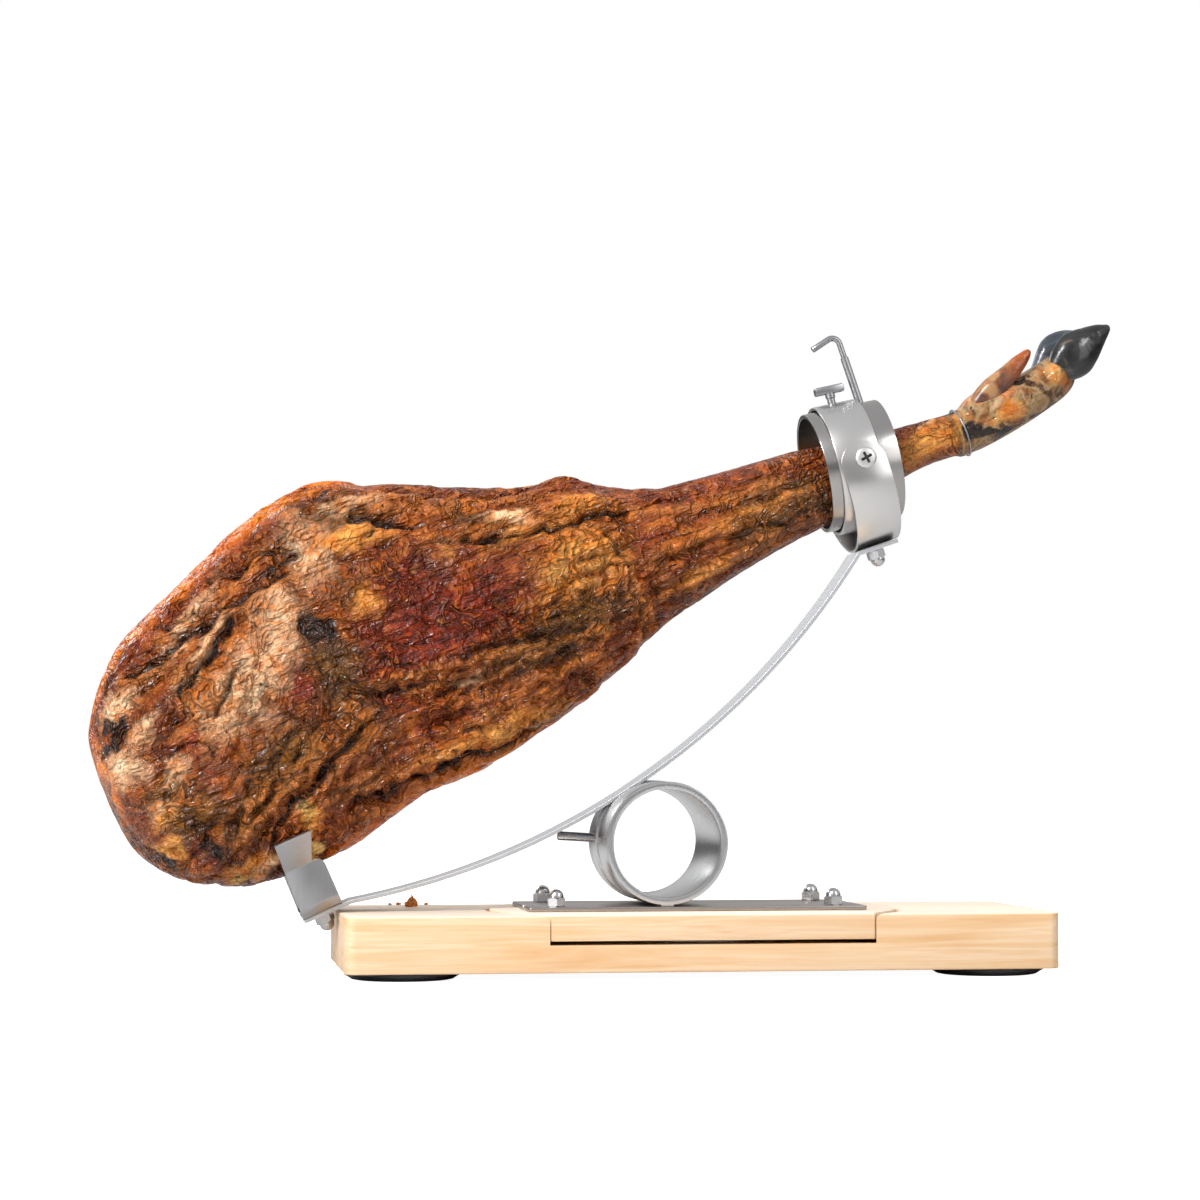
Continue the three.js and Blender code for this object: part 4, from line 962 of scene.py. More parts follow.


# Creases between the folds of the skin, sunk in and painted dark as shade: points along the ham, width and
# depth.
CREASES = [
    ([(-380, 128), (-350, 138), (-315, 146), (-285, 152), (-250, 158)], 3.0, 4.5),
    ([(-352, 104), (-330, 116), (-308, 131), (-296, 142)], 2.6, 4.0),
    ([(-345, 113), (-330, 128), (-310, 141), (-300, 148)], 2.2, 2.5),
    ([(-352, 84), (-335, 80), (-318, 92), (-300, 108)], 2.6, 3.0),
    ([(-345, 70), (-332, 72), (-318, 66), (-300, 66)], 2.2, 2.4),
    ([(-330, -24), (-312, -10), (-290, 2), (-262, 16), (-238, 30), (-222, 36)], 3.0, 4.5),
    ([(-335, 2), (-315, 12), (-290, 18), (-262, 24)], 2.4, 2.6),
    ([(-305, -12), (-285, -8), (-262, -10), (-240, -9)], 2.4, 2.6),
    ([(-262, -20), (-230, -23), (-205, -24), (-170, -23), (-135, -24), (-105, -21)], 2.2, 5.5),
    ([(-215, 46), (-185, 42), (-160, 36), (-130, 33), (-100, 30), (-60, 26)], 2.6, 3.2),
    ([(-150, 52), (-120, 48), (-100, 43), (-78, 40), (-50, 36)], 2.2, 2.6),
    ([(-150, 26), (-125, 24), (-95, 25), (-62, 21)], 2.2, 2.4),
    ([(-185, 178), (-170, 170), (-155, 162), (-145, 153), (-135, 151)], 2.8, 4.5),
    ([(-128, 140), (-112, 133), (-97, 124), (-80, 128)], 2.4, 3.0),
    ([(-95, 126), (-70, 118), (-50, 117), (-25, 113), (5, 112), (14, 106)], 2.4, 3.6),
    ([(-8, 96), (-2, 84), (0, 66), (-3, 48), (-2, 30), (-6, 16)], 2.2, 2.6),
    ([(-432, 60), (-431, 35), (-424, 8), (-406, -18), (-385, -34)], 3.0, 2.0),
    ([(-375, 64), (-362, 70), (-350, 62), (-346, 50)], 2.6, 2.6),
    ([(-380, 6), (-372, -6), (-368, -14)], 2.6, 3.0),
    ([(25, 60), (60, 62), (100, 56), (150, 54)], 2.6, 2.0),
    ([(10, 40), (50, 44), (90, 46), (140, 44)], 2.4, 1.6),
    ([(60, 84), (100, 80), (150, 76)], 3.0, 1.6),
    ([(-300, 175), (-285, 172), (-262, 176), (-245, 182)], 2.6, 3.0),
    ([(-350, 155), (-330, 152), (-305, 158), (-292, 162)], 2.6, 3.0),
]
# Rope-like folds that stand up from the skin: points along the ham, width and height.
ROPES = [
    ([(-352, 110), (-338, 121), (-322, 129), (-305, 140), (-298, 152)], 4.5, 5.5),
    ([(-352, 94), (-332, 104), (-315, 117), (-300, 128), (-284, 134)], 4.0, 4.0),
    ([(-368, 74), (-354, 80), (-340, 88), (-322, 98), (-310, 104)], 4.5, 3.5),
    ([(-352, 62), (-340, 68), (-326, 74), (-312, 86)], 4.0, 3.5),
    ([(-352, 146), (-325, 151), (-300, 158), (-272, 170), (-250, 184)], 4.5, 4.0),
    ([(-300, 146), (-272, 150), (-245, 152), (-228, 160)], 5.0, 4.5),
    ([(-385, 122), (-358, 130), (-330, 136)], 5.0, 3.0),
    ([(-352, -18), (-330, -4), (-305, 8), (-280, 17), (-250, 27), (-225, 37)], 4.5, 5.0),
    ([(-338, 6), (-318, 14), (-296, 20), (-270, 28)], 3.5, 3.0),
    ([(-296, -6), (-272, 6), (-248, 18), (-225, 24)], 5.0, 3.0),
    ([(-290, -13), (-265, -8), (-235, -2)], 5.0, 3.0),
    ([(-212, 52), (-180, 50), (-150, 47), (-118, 42), (-85, 38)], 3.5, 4.0),
    ([(-195, 40), (-165, 38), (-140, 38)], 3.5, 3.0),
    ([(-150, 22), (-135, 29), (-112, 28), (-92, 30)], 3.5, 3.5),
    ([(-118, 36), (-88, 32), (-58, 30), (-30, 30)], 3.0, 3.0),
    ([(-160, 16), (-120, 15), (-80, 14), (-45, 14)], 4.0, 2.5),
    ([(-260, -13), (-215, -14), (-170, -11), (-120, -11), (-90, -8)], 4.5, 4.0),
    ([(-185, 2), (-150, 3), (-112, 3), (-85, 4)], 4.0, 2.5),
    ([(-260, -30), (-215, -31), (-165, -29), (-120, -26)], 4.0, 3.5),
    ([(-140, 142), (-118, 137), (-95, 133), (-75, 136)], 4.0, 3.5),
    ([(-75, 136), (-50, 132), (-25, 125), (0, 119)], 6.0, 4.5),
    ([(-90, 126), (-70, 124), (-52, 121)], 3.5, 3.0),
    ([(-48, 110), (-25, 109), (-8, 106)], 3.0, 3.0),
    ([(-12, 96), (-6, 86), (-2, 76), (-2, 60), (-5, 44), (-3, 26), (-10, 12)], 3.0, 3.5),
    ([(4, 60), (3, 44), (6, 30), (2, 16)], 2.5, 2.0),
    ([(-172, 188), (-140, 177), (-105, 162), (-70, 150), (-40, 142)], 3.5, 3.0),
    ([(-165, 176), (-140, 168), (-110, 157)], 4.0, 2.5),
    ([(-190, 172), (-172, 164), (-158, 158)], 5.0, 2.5),
    ([(8, 112), (30, 100), (50, 92), (90, 88), (140, 86)], 4.0, 2.2),
    ([(20, 62), (60, 68), (100, 71), (150, 70)], 5.0, 2.4),
    ([(40, 40), (80, 44), (120, 48)], 4.0, 1.8),
    ([(-30, 138), (-16, 132), (2, 116)], 4.0, 3.0),
]
# Ridges and swellings: middle, radii, turn and height.
MOUNDS = [
    (-300, 88, 42, 17, 0.55, 5.5), (-325, 126, 34, 5.5, 0.62, 4.0), (-322, 100, 30, 5, 0.55, 2.5),
    (-244, 112, 13, 18, 0.0, -8.0), (-247, 170, 27, 8, 0.12, -8.0), (-408, 92, 15, 6.5, 0.85, -6.0),
    (-238, 72, 12, 40, 0.0, -4.0), (-212, 150, 13, 45, 0.15, 4.5), (-190, 162, 22, 9, -0.2, 3.0),
    (-150, 172, 34, 9, -0.45, 4.0), (-40, 92, 34, 22, 0.0, 6.0), (-55, 134, 60, 6, -0.24, 3.5),
    (-20, 125, 24, 6, -0.25, 3.0), (-160, 140, 20, 14, 0.0, 3.0), (-180, 24, 26, 9, -0.1, 3.5),
    (-170, -10, 60, 8, 0.0, 3.0), (-265, 5, 34, 10, 0.35, 3.5), (-285, -16, 20, 10, 0.1, 4.0),
    (-250, -35, 50, 8, 0.08, 3.0), (-390, 120, 20, 12, 0.7, 3.0), (-380, 30, 24, 20, 0.3, 3.0),
    (-265, 75, 16, 14, 0.0, 2.5), (-170, 17, 5, 5, 0.0, 2.2), (-169, 17, 2, 2, 0.0, -4.0),
    (-215, -3, 10, 6, 0.2, 2.5), (384, 84, 9, 11, 0.0, 4.0), (60, 72, 60, 9, 0.0, 2.0),
    (90, 96, 60, 7, 0.0, 1.6),
]


def ham_points():
    """Places, p, q and facing of a skin of rings wound round the ham."""
    rings, sides = 400, 224
    deselect()
    bpy.ops.mesh.primitive_uv_sphere_add(segments=sides, ring_count=rings, radius=1)
    ham = named("ham")
    count = len(ham.data.vertices)
    ball = np.empty(count * 3)
    ham.data.vertices.foreach_get("co", ball)
    ball = ball.reshape(-1, 3)
    share = np.arccos(np.clip(ball[:, 2], -1, 1)) / math.pi
    angle = np.arctan2(ball[:, 1], ball[:, 0])
    # Rings are spread evenly over the surface, so more of them fall where the ends curve in.
    fine = np.linspace(0, len(HAM_SECTIONS) - 1, 2400)
    alongs, tops, bottoms, fronts, backs = (through(HAM_SECTIONS[:, i], fine) for i in range(5))
    length = np.cumsum(np.hypot(np.hypot(np.gradient(alongs), np.gradient(tops - bottoms) / 2), 0.02))
    length = (length - length[0]) / (length[-1] - length[0])
    t = np.interp(share, length, fine)
    p, top, bottom, front, back = (through(HAM_SECTIONS[:, i], t) for i in range(5))
    half = (top - bottom) / 2
    pole = np.minimum(1, np.minimum(share, 1 - share) * rings)
    q = (top + bottom) / 2 + half * np.sin(angle) * pole
    side = np.cos(angle)
    depth = np.where(side > 0, front, back)
    y = -np.sign(side) * np.abs(side) ** 0.86 * depth * pole
    return ham, p, q, y, side


def folded(points, octaves, seed):
    """Rounded folds with sharp valleys, from 0 in a valley to about 1."""
    value = np.minimum(1, np.abs(field(points, octaves, seed)) * 2.6)
    return value * (2 - value)


def skin_relief(p, q, y, side):
    """How far each point of the skin stands out in millimetres, and how much painted shade its creases and
    fold valleys get.
    """
    front = step(side, 0.05, 0.45)
    body = step(p, -430, -385) * (1 - step(p, -20, 70))
    shank = step(p, -40, 60) * (1 - step(p, 268, 284))
    left = (1 - step(p + 0.35 * q, -265, -165))
    place = np.stack([p, q, y], 1)
    bent = place + 7 * np.stack([field(place / 30, 2, seed) for seed in (41.0, 47.0, 53.0)], 1)
    u, v, w = bent[:, 0], bent[:, 1], bent[:, 2]
    a = math.radians(36)
    s, n = u * math.cos(a) + v * math.sin(a), v * math.cos(a) - u * math.sin(a)

    def both(length, width, octaves, seed):
        slanted = folded(np.stack([s / length, n / width, w / width], 1), octaves, seed)
        straight = folded(np.stack([u / length, (v + 0.08 * u) / width, w / width], 1), octaves, seed + 5)
        return left * slanted + (1 - left) * straight

    broad = both(130, 27, 1, 3.1)
    folds = both(60, 12, 1, 17.7)
    lumps = field(place / 34, 2, 1.3)
    curls = folded(bent / 9.5, 1, 2.2)
    strength = 0.55 + 0.45 * np.clip(0.5 + field(place / 70, 2, 61.0), 0, 1)
    height = body * 5.5 * (broad - 0.6) + (body * 5.2 + shank * 2.2) * strength * (folds - 0.6)
    height += (body * 2.2 + shank * 0.8) * lumps + (body * 1.5 + shank * 0.8) * (curls - 0.6)
    # Long even folds under the middle, and slanting ones beside the cradle.
    drift = 6 * field(place / 45, 2, 71.0)
    under = step(p, -250, -190) * (1 - step(p, -50, 10)) * step(q, -28, -10) * (1 - step(q, 50, 72))
    beside = step(p, -372, -345) * (1 - step(p, -262, -215)) * step(q, -45, -30) * (1 - step(q, 34, 60))
    long_folds = np.abs(np.sin((v + 0.12 * u + drift) / 3.6))
    slanted_folds = np.abs(np.sin((n + drift) / 3.6))
    height += front * (under * 3.0 * (long_folds - 0.64) + beside * 2.6 * (slanted_folds - 0.64))
    # The cuff of skin at the ankle closes up to the wire tied round it.
    height += 1.9 * np.exp(-((p - 294.5) / 3.2) ** 2)
    for at_p, at_q, along_radius, across_radius, angle, rise in MOUNDS:
        height += front * rise * mound(p, q, at_p, at_q, along_radius, across_radius, angle)
    wander_p = p + 5.0 * field(place / 16, 2, 4.4)
    wander_q = q + 5.0 * field(place / 16, 2, 6.6)
    # Painted highlight: the tops of the ropes are marked to be lighter in the skin's colour.
    lit = np.zeros(p.shape)
    for line, width, rise in ROPES:
        near = crease(wander_p, wander_q, line, width)
        height += front * 1.35 * rise * near * strength
        lit = np.maximum(lit, near)
    # Painted shade: the creases, and below them the valleys of the folds, are marked to get a darker
    # colour.
    dark = np.zeros(p.shape)
    for line, width, depth in CREASES:
        near = crease(wander_p, wander_q, line, width)
        height -= front * 1.25 * depth * near
        dark = np.maximum(dark, near * min(1.0, depth / 4.0))
    valley_shade = 0.8 * (1 - step(folds, 0.0, 0.22)) * (body + 0.7 * shank) * strength
    valley_shade = np.maximum(valley_shade, 0.6 * (1 - step(broad, 0.0, 0.12)) * body)
    valley_shade = np.maximum(valley_shade, 0.65 * front * under * (1 - step(long_folds, 0.0, 0.35)))
    valley_shade = np.maximum(valley_shade, 0.55 * front * beside * (1 - step(slanted_folds, 0.0, 0.35)))
    # Painted shade in the valleys of the coarse curls.
    curl_valley_shade = (1 - step(curls, 0.0, 0.3)) * (body + shank * 0.8)
    return height, np.maximum(dark * front, valley_shade), curl_valley_shade, lit * front


def press_into_cradle(x, y, z):
    """Keeps the skin between the cradle's legs and flanges."""
    c, s = math.cos(CRADLE_SLOPE), math.sin(CRADLE_SLOPE)
    dx, dz = x - CRADLE_AT[0] - FRAME_X, z - CRADLE_AT[1]
    a, b = dx * c + dz * s, dz * c - dx * s - BAR["thickness"] / 2 - GAP
    leg, top = CRADLE["leg"], CRADLE["leg"] + CRADLE["flare"]
    inside = CRADLE["half"] - CRADLE["thickness"] - 0.8
    limit = inside + np.clip(b - leg, 0, CRADLE["flare"] + 0.6) * math.tan(CRADLE["lean"])
    limit -= step(b, leg - 2, leg + 6) * 0.6
    limit += np.maximum(0, b - top - 0.8) * 5
    limit += np.maximum(0, np.abs(a - 1.5) - 18.6) * 4
    return np.where((b > -2) & (b < top + 30), np.clip(y, -limit, limit), y)


def make_ham():
    """Skin of the ham and foot as one closed piece."""
    ham, p, q, y, side = ham_points()
    mesh = ham.data
    height, dark, curl_valley_shade, lit = skin_relief(p, q, y, side)
    x, z = ham_place(p, q)
    base = np.stack([x, y, z], 1)
    mesh.vertices.foreach_set("co", (base * MM).ravel())
    mesh.update()
    edit(ham)
    bpy.ops.mesh.normals_make_consistent(inside=False)
    bpy.ops.object.mode_set(mode="OBJECT")
    normals = np.empty(len(p) * 3)
    mesh.vertices.foreach_get("normal", normals)
    normals = normals.reshape(-1, 3)
    # At the outline the relief is kept low, so the side view stays that of the sections.
    calm = 0.35 + 0.65 * np.abs(normals[:, 1])
    placed = base + normals * (height * calm - 0.8)[:, None]
    placed[:, 1] = press_into_cradle(placed[:, 0], placed[:, 1], placed[:, 2])
    mesh.vertices.foreach_set("co", (placed * MM).ravel())
    mesh.update()
    paint(mesh, p, q, y, side, dark, height, curl_valley_shade, lit)
    smooth(ham, 180)
    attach(ham, "arm")
    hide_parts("ham")
    mesh.materials.append(HAM_SKIN)


# Patches of colour on the front: middle along and across the ham, radii, turn and amount.
RED_PATCHES = [
    (-378, -5, 9, 15, 0.1, 1.0), (-150, 82, 74, 30, 0.0, 1.0), (-165, 120, 22, 14, 0.0, 0.8),
    (-365, 66, 18, 9, 0.3, 0.7), (-268, 74, 12, 12, 0.0, 0.7), (-330, 170, 60, 8, 0.4, 0.45),
    (-365, 150, 34, 12, 0.5, 0.5), (80, 100, 80, 16, 0.0, 0.4), (20, 78, 26, 14, 0.0, 0.5),
    (-200, 42, 40, 10, 0, 0.6), (-190, 26, 40, 10, 0, 0.5), (-172, 10, 50, 14, 0.05, 0.6),
    (-191, 62, 30, 20, 0.1, 0.9), (66, 42, 40, 8, 0.1, 0.5), (-262, -28, 24, 8, 0, 0.35),
]
OLIVE_PATCHES = [
    (-238, 70, 22, 44, 0.0, 0.9), (-300, 30, 42, 26, 0.3, 0.8), (-45, 46, 46, 18, 0.0, 1.0),
    (-90, 34, 36, 14, 0.0, 0.9), (-95, 142, 30, 8, -0.4, 0.8), (-388, 40, 22, 16, 0.2, 0.9),
    (-376, 14, 26, 22, 0.0, 0.85), (-195, 188, 26, 18, 0.0, 0.7), (-375, 122, 26, 14, 0.3, 0.5),
    (-340, 0, 40, 16, 0.5, 0.7), (-215, 20, 20, 20, 0.0, 0.4), (-390, 10, 18, 20, 0.0, 0.7),
    (130, 66, 50, 24, 0.0, 0.85), (-100, -14, 30, 8, 0, 0.5), (-205, 130, 16, 18, 0, 0.5),
]
# Pale skin; the two patches on the swelling near (-300, 90) are a painted highlight on it.
PALE_AND_HIGHLIGHT_PATCHES = [
    (-300, 92, 46, 20, 0.55, 1.0), (-225, 165, 22, 26, 0.3, 0.7), (-325, 126, 34, 6, 0.62, 0.9),
    (-265, 130, 24, 18, 0.4, 0.7), (-75, 138, 20, 6, -0.3, 0.8), (-390, 86, 16, 7, 0.4, 0.8),
    (-412, 68, 16, 16, 0.0, 0.8), (-400, 110, 16, 9, 0.8, 0.8), (-395, 28, 14, 9, 0.0, 0.6),
    (-340, 82, 16, 14, 0.5, 0.6), (-330, 150, 40, 8, 0.6, 0.6), (-302, 86, 26, 17, 0.9, 1.0),
    (-31, 80, 24, 14, 0.0, 0.8), (-379, 52, 12, 8, 0.3, 0.8), (-344, -41, 12, 7, 0.4, 0.9),
    (-190, 190, 40, 6, -0.2, 0.5), (310, 92, 16, 5, 0.2, 0.6), (330, 84, 22, 5, 0.1, 0.5),
    (268, 84, 8, 5, 0, 0.7), (-150, 34, 14, 4, 0, 0.6),
]
AMBER_PATCHES = [
    (-32, 84, 36, 22, 0.0, 1.0), (-190, 163, 26, 9, -0.2, 0.9), (-20, 124, 22, 7, -0.2, 0.9),
    (-145, -10, 60, 8, 0.0, 0.8), (-60, 120, 40, 8, -0.1, 0.6), (-200, 116, 16, 10, 0.0, 0.6),
    (-405, 0, 10, 8, -0.3, 0.9), (-352, -36, 22, 7, 0.1, 0.7), (90, 72, 70, 7, 0.0, 0.35),
    (-300, -20, 8, 10, 0.0, 0.8), (-396, 25, 14, 7, 0.3, 0.7), (-402, -7, 9, 5, 0.0, 1.0),
    (60, 40, 50, 8, 0.1, 0.5), (332, 71, 20, 8, 0.1, 0.6), (382, 84, 9, 10, 0, 0.45),
    (262, 70, 34, 14, 0.0, 0.72), (-60, 70, 30, 8, 0, 0.5),
]
FAT_PATCHES = [
    (-303, -42, 8, 11, 0.0, 1.0), (-300, -16, 7, 7, 0.0, 0.7), (-362, -44, 8, 4, 0.2, 0.6),
]
BLACK_PATCHES = [
    (-408, 92, 17, 5.5, 0.85, 1.0), (-430, 49, 5, 12, 0.0, 0.5), (-244, 113, 12, 16, 0.0, 0.8),
    (-246, 170, 24, 6, 0.12, 0.7), (300, 66, 13, 8, -0.3, 1.0), (316, 60, 16, 5, -0.1, 0.8),
    (352, 90, 8, 3, 0.3, 0.9), (288, 84, 9, 6, 0.2, 0.8), (150, 44, 18, 5, 0.0, 0.4),
    (146, 102, 14, 4, 0.0, 0.4), (-375, -8, 9, 8, 0.0, 0.6), (-30, 42, 18, 6, 0.0, 0.5),
    (-95, 36, 16, 5, 0.0, 0.4), (-200, 206, 22, 4, 0.0, 0.6), (-432, 40, 5, 40, 0.0, 0.6),
    (275, 88, 14, 3, 0, 0.7), (320, 54, 24, 3, 0.1, 0.5), (-410, -10, 14, 5, -0.8, 0.6),
]


def paint(mesh, p, q, y, side, dark, height, curl_valley_shade, lit):
    """Masks that the skin's material mixes by, one value a point."""
    front = step(side, -0.05, 0.25)
    back = 1 - front
    place = np.stack([p, q, y], 1)
    stir = 9 * field(place / 22, 3, 12.0)
    stir_q = 9 * field(place / 22, 3, 15.0)
    u, v = p + stir, q + stir_q

    def patches(rows):
        value = np.zeros(p.shape)
        for at_p, at_q, along_radius, across_radius, angle, amount in rows:
            value = np.maximum(value, amount * mound(u, v, at_p, at_q, along_radius, across_radius, angle))
        return value

    red = front * patches(RED_PATCHES)
    olive = front * patches(OLIVE_PATCHES)
    pale_and_highlight = front * patches(PALE_AND_HIGHLIGHT_PATCHES)
    amber = front * patches(AMBER_PATCHES)
    fat = front * patches(FAT_PATCHES)
    black = front * patches(BLACK_PATCHES)
    olive = np.maximum(olive, back * 0.35 * (0.5 + field(place / 60, 3, 33.0)))
    patchy = np.clip(0.2 + 0.9 * field(place / 70, 3, 35.0), 0, 0.5)
    amber = np.maximum(amber, back * patchy * (1 - step(p, 340, 370)))
    # Painted light: an orange glow along the upper outline of the butt, round its end and along the lower
    # outline, standing in for light shining through the thin edge of the skin.
    edge = 1 - step(np.abs(side), 0.12, 0.58)
    rim_glow = edge * (1 - step(p, -250, -100)) * step(q, 60, 110)
    rim_glow = np.maximum(rim_glow, 0.9 * (1 - step(p, -431, -420)) * step(q, 10, 50))
    rim_glow = np.maximum(rim_glow, 0.8 * edge * (1 - step(q, -30, 0)) * step(p, -310, -280))
    # Painted shade: darker where the relief sinks in.
    hollow_shade = np.clip(-height / 7, 0, 1)
    foot = step(p + stir * 0.3, 284, 290)
    masks = {"red": red, "olive": olive, "pale_and_highlight": pale_and_highlight, "amber": amber, "fat": fat, "black": black,
             "crease": dark, "rim_glow": rim_glow, "hollow_shade": hollow_shade, "foot": foot, "curl_shade": curl_valley_shade, "rope_highlight": lit}
    for name, values in masks.items():
        layer = mesh.attributes.new(name, "FLOAT", "POINT")
        layer.data.foreach_set("value", np.clip(values, 0, 1).astype(np.float32))


def ham_finish():
    """Oily cured skin: browns that change with each patch, curly wrinkles and small pits, with painted
    shade in the folds, hollows, pits and wrinkle troughs, and painted highlights and glow on the ropes,
    crests, specks and rim.
    """
    f = Finish("Cured ham skin")
    warp = f.add("ShaderNodeTexNoise")
    warp.inputs["Scale"].default_value = 60
    warp.inputs["Detail"].default_value = 2
    f.link(f.place, warp.inputs["Vector"])
    scaled = f.add("ShaderNodeVectorMath", operation="SCALE")
    f.link(warp.outputs["Color"], scaled.inputs[0])
    scaled.inputs["Scale"].default_value = 0.018
    crooked = f.add("ShaderNodeVectorMath", operation="ADD")
    f.link(f.place, crooked.inputs[0])
    f.link(scaled.outputs[0], crooked.inputs[1])
    wavy = crooked.outputs[0]

    wide = f.noise(15, 4, 0.6, 0.5)
    mid = f.noise(52, 5, 0.62, 1.0)
    small = f.noise(240, 4, 0.6, 0.8)
    # Curly wrinkles follow the level lines of a soft noise, like a fingerprint.
    level = f.noise(38, 1, 0.4, 1.6, wavy)
    curls = f.math("MULTIPLY", f.math("SINE", f.math("MULTIPLY", level, 34.0)), 0.5)
    curl_strength = f.span(f.noise(30, 3, 0.6), 0.38, 0.62)
    curls = f.math("MULTIPLY", curls, curl_strength)
    foot = f.attribute("foot")
    curls = f.math("MULTIPLY", curls, f.span(foot, 0, 1, 1.0, 0.35))

    skin = f.ramp(wide, [(0.30, rgb(72, 29, 7)), (0.43, rgb(102, 41, 9)), (0.52, rgb(127, 53, 11)),
                         (0.62, rgb(156, 76, 20)), (0.74, rgb(100, 42, 12))])
    skin = f.mix(f.span(mid, 0.44, 0.68, 0, 0.66), skin, rgb(70, 28, 6))
    skin = f.mix(f.span(mid, 0.48, 0.30, 0, 0.6), skin, rgb(196, 112, 40))
    foot_shade = f.ramp(f.noise(26, 3, 0.55, 2.2), [(0.32, rgb(34, 22, 18)), (0.42, rgb(88, 58, 33)),
                                                     (0.52, rgb(154, 126, 88)), (0.62, rgb(112, 68, 30)),
                                                     (0.74, rgb(80, 50, 38))])
    skin = f.mix(foot, skin, foot_shade)

    def patch(name, colour, light, strength, low=0.12, high=0.6):
        edge = f.math("ADD", f.attribute(name), f.span(mid, 0.3, 0.7, -0.25, 0.25))
        amount = f.span(edge, low, high, 0, strength)
        shade = f.mix(f.span(mid, 0.36, 0.6), light, colour)
        shade = f.mix(f.span(small, 0.45, 0.7, 0, 0.25), shade, tuple(c * 0.5 for c in colour))
        return amount, shade

    for name, colour, light, strength in (
        # painted light: the rim glow stands in for light shining through the skin's edge
        ("rim_glow", rgb(196, 86, 8), rgb(246, 138, 32), 0.9),
        ("red", rgb(72, 15, 4), rgb(146, 46, 14), 0.93),
        ("olive", rgb(58, 34, 10), rgb(126, 82, 30), 0.85),
        # pale skin, and a painted highlight on the swelling near (-300, 90)
        ("pale_and_highlight", rgb(204, 130, 78), rgb(255, 222, 178), 0.96),
        ("amber", rgb(196, 106, 24), rgb(250, 180, 88), 0.92),
    ):
        amount, shade = patch(name, colour, light, strength)
        skin = f.mix(amount, skin, shade)
    amount, shade = patch("fat", rgb(214, 160, 74), rgb(240, 204, 132), 0.95, 0.2, 0.5)
    skin = f.mix(amount, skin, shade)
    black = f.math("ADD", f.attribute("black"), f.span(mid, 0.3, 0.7, -0.2, 0.2))
    skin = f.mix(f.span(black, 0.36, 0.54, 0, 0.95), skin, rgb(22, 18, 18))
    # Painted shade in the valleys of the coarse curls.
    skin = f.mix(f.span(f.attribute("curl_shade"), 0.3, 1.0, 0, 0.4), skin, rgb(70, 32, 10))
    # Painted highlight on the tops of the ropes.
    skin = f.mix(f.math("MULTIPLY", f.attribute("rope_highlight"), 0.5), skin, f.mix(0.6, skin, rgb(236, 144, 64)))
    # Painted shade in the creases and fold valleys.
    skin = f.mix(f.span(f.attribute("crease"), 0.15, 0.85, 0, 0.93), skin, rgb(26, 11, 4))
    # Painted shade where the relief sinks in.
    skin = f.mix(f.span(f.attribute("hollow_shade"), 0.15, 0.9, 0, 0.6), skin, rgb(54, 26, 12))
    # Painted shade in the troughs of the fine curly wrinkles and a painted highlight on their crests.
    skin = f.mix(f.span(curls, -0.1, -0.5, 0, 0.42), skin, rgb(44, 17, 4))
    skin = f.mix(f.span(curls, 0.2, 0.5, 0, 0.42), skin, rgb(222, 122, 44))
    # Painted shade in the small pits that the bump sinks in.
    pits = f.cells(58, "F1", wavy)
    skin = f.mix(f.span(pits, 0.04, 0.10, 0.8, 0.0), skin, rgb(26, 13, 8))
    # Painted highlights: tiny bright dots, also raised in the bump.
    glint_specks = f.cells(85, "F1")
    skin = f.mix(f.span(glint_specks, 0.04, 0.085, 0.85, 0.0), skin, rgb(250, 222, 180))

    # Fine folds run along the ham under the curls.
    along_ham = f.mapped((1, 1, 1), (0, HAM_TILT, 0))
    fine_folds = f.noise(170, 2, 0.5, 0.5, f.mapped((0.13, 1, 1), source=along_ham))
    blobs = f.noise(120, 2, 0.5, 1.2)
    height = f.math("ADD", f.math("MULTIPLY", curls, 0.9), f.math("MULTIPLY", blobs, 1.1))
    height = f.math("ADD", height, f.math("MULTIPLY", fine_folds, 2.2))
    height = f.math("SUBTRACT", height, f.span(pits, 0.03, 0.11, 0.9, 0.0))
    height = f.math("ADD", height, f.span(glint_specks, 0.03, 0.1, 0.7, 0.0))
    height = f.math("MULTIPLY", height, f.span(foot, 0, 1, 1.0, 0.25))
    normal = f.bump(height, 0.0052, 1.0)
    f.link(normal, f.shader.inputs["Coat Normal"])
    rough = f.span(mid, 0.3, 0.7, 0.18, 0.3)
    oily = {"Specular IOR Level": 0.16, "Coat Weight": 0.4, "Coat Roughness": 0.1}
    return f.done(skin, rough, 0.0, normal, **oily)


def hoof_finish(name, dark, light, tip, horn_from=0.0):
    """Horn of a hoof, marbled along its length, with spotted skin over it short of horn_from."""
    f = Finish(name)
    turned_in = f.mapped((1, 1, 1), (0, HAM_TILT, 0))
    streaks = f.noise(60, 3, 0.5, 1.6, f.mapped((0.5, 1, 1.1), source=turned_in))
    colour = f.ramp(streaks, [(0.36, dark), (0.56, tip), (0.72, light)])
    if horn_from:
        split = f.add("ShaderNodeSeparateXYZ")
        f.link(turned_in, split.inputs[0])
        spots = f.ramp(f.noise(75, 3, 0.55, 0.6), [(0.38, rgb(74, 44, 40)), (0.5, rgb(122, 76, 46)),
                                                   (0.62, rgb(160, 118, 78))])
        edge = HAM_ZERO + horn_from
        covered = f.span(split.outputs["X"], (edge - 9) * MM, (edge + 9) * MM)
        colour = f.mix(covered, spots, colour)
    return f.done(colour, f.span(streaks, 0.3, 0.7, 0.2, 0.34), 0.0, f.bump(streaks, 0.0006, 0.4),
                  **{"Coat Weight": 0.15, "Coat Roughness": 0.12})


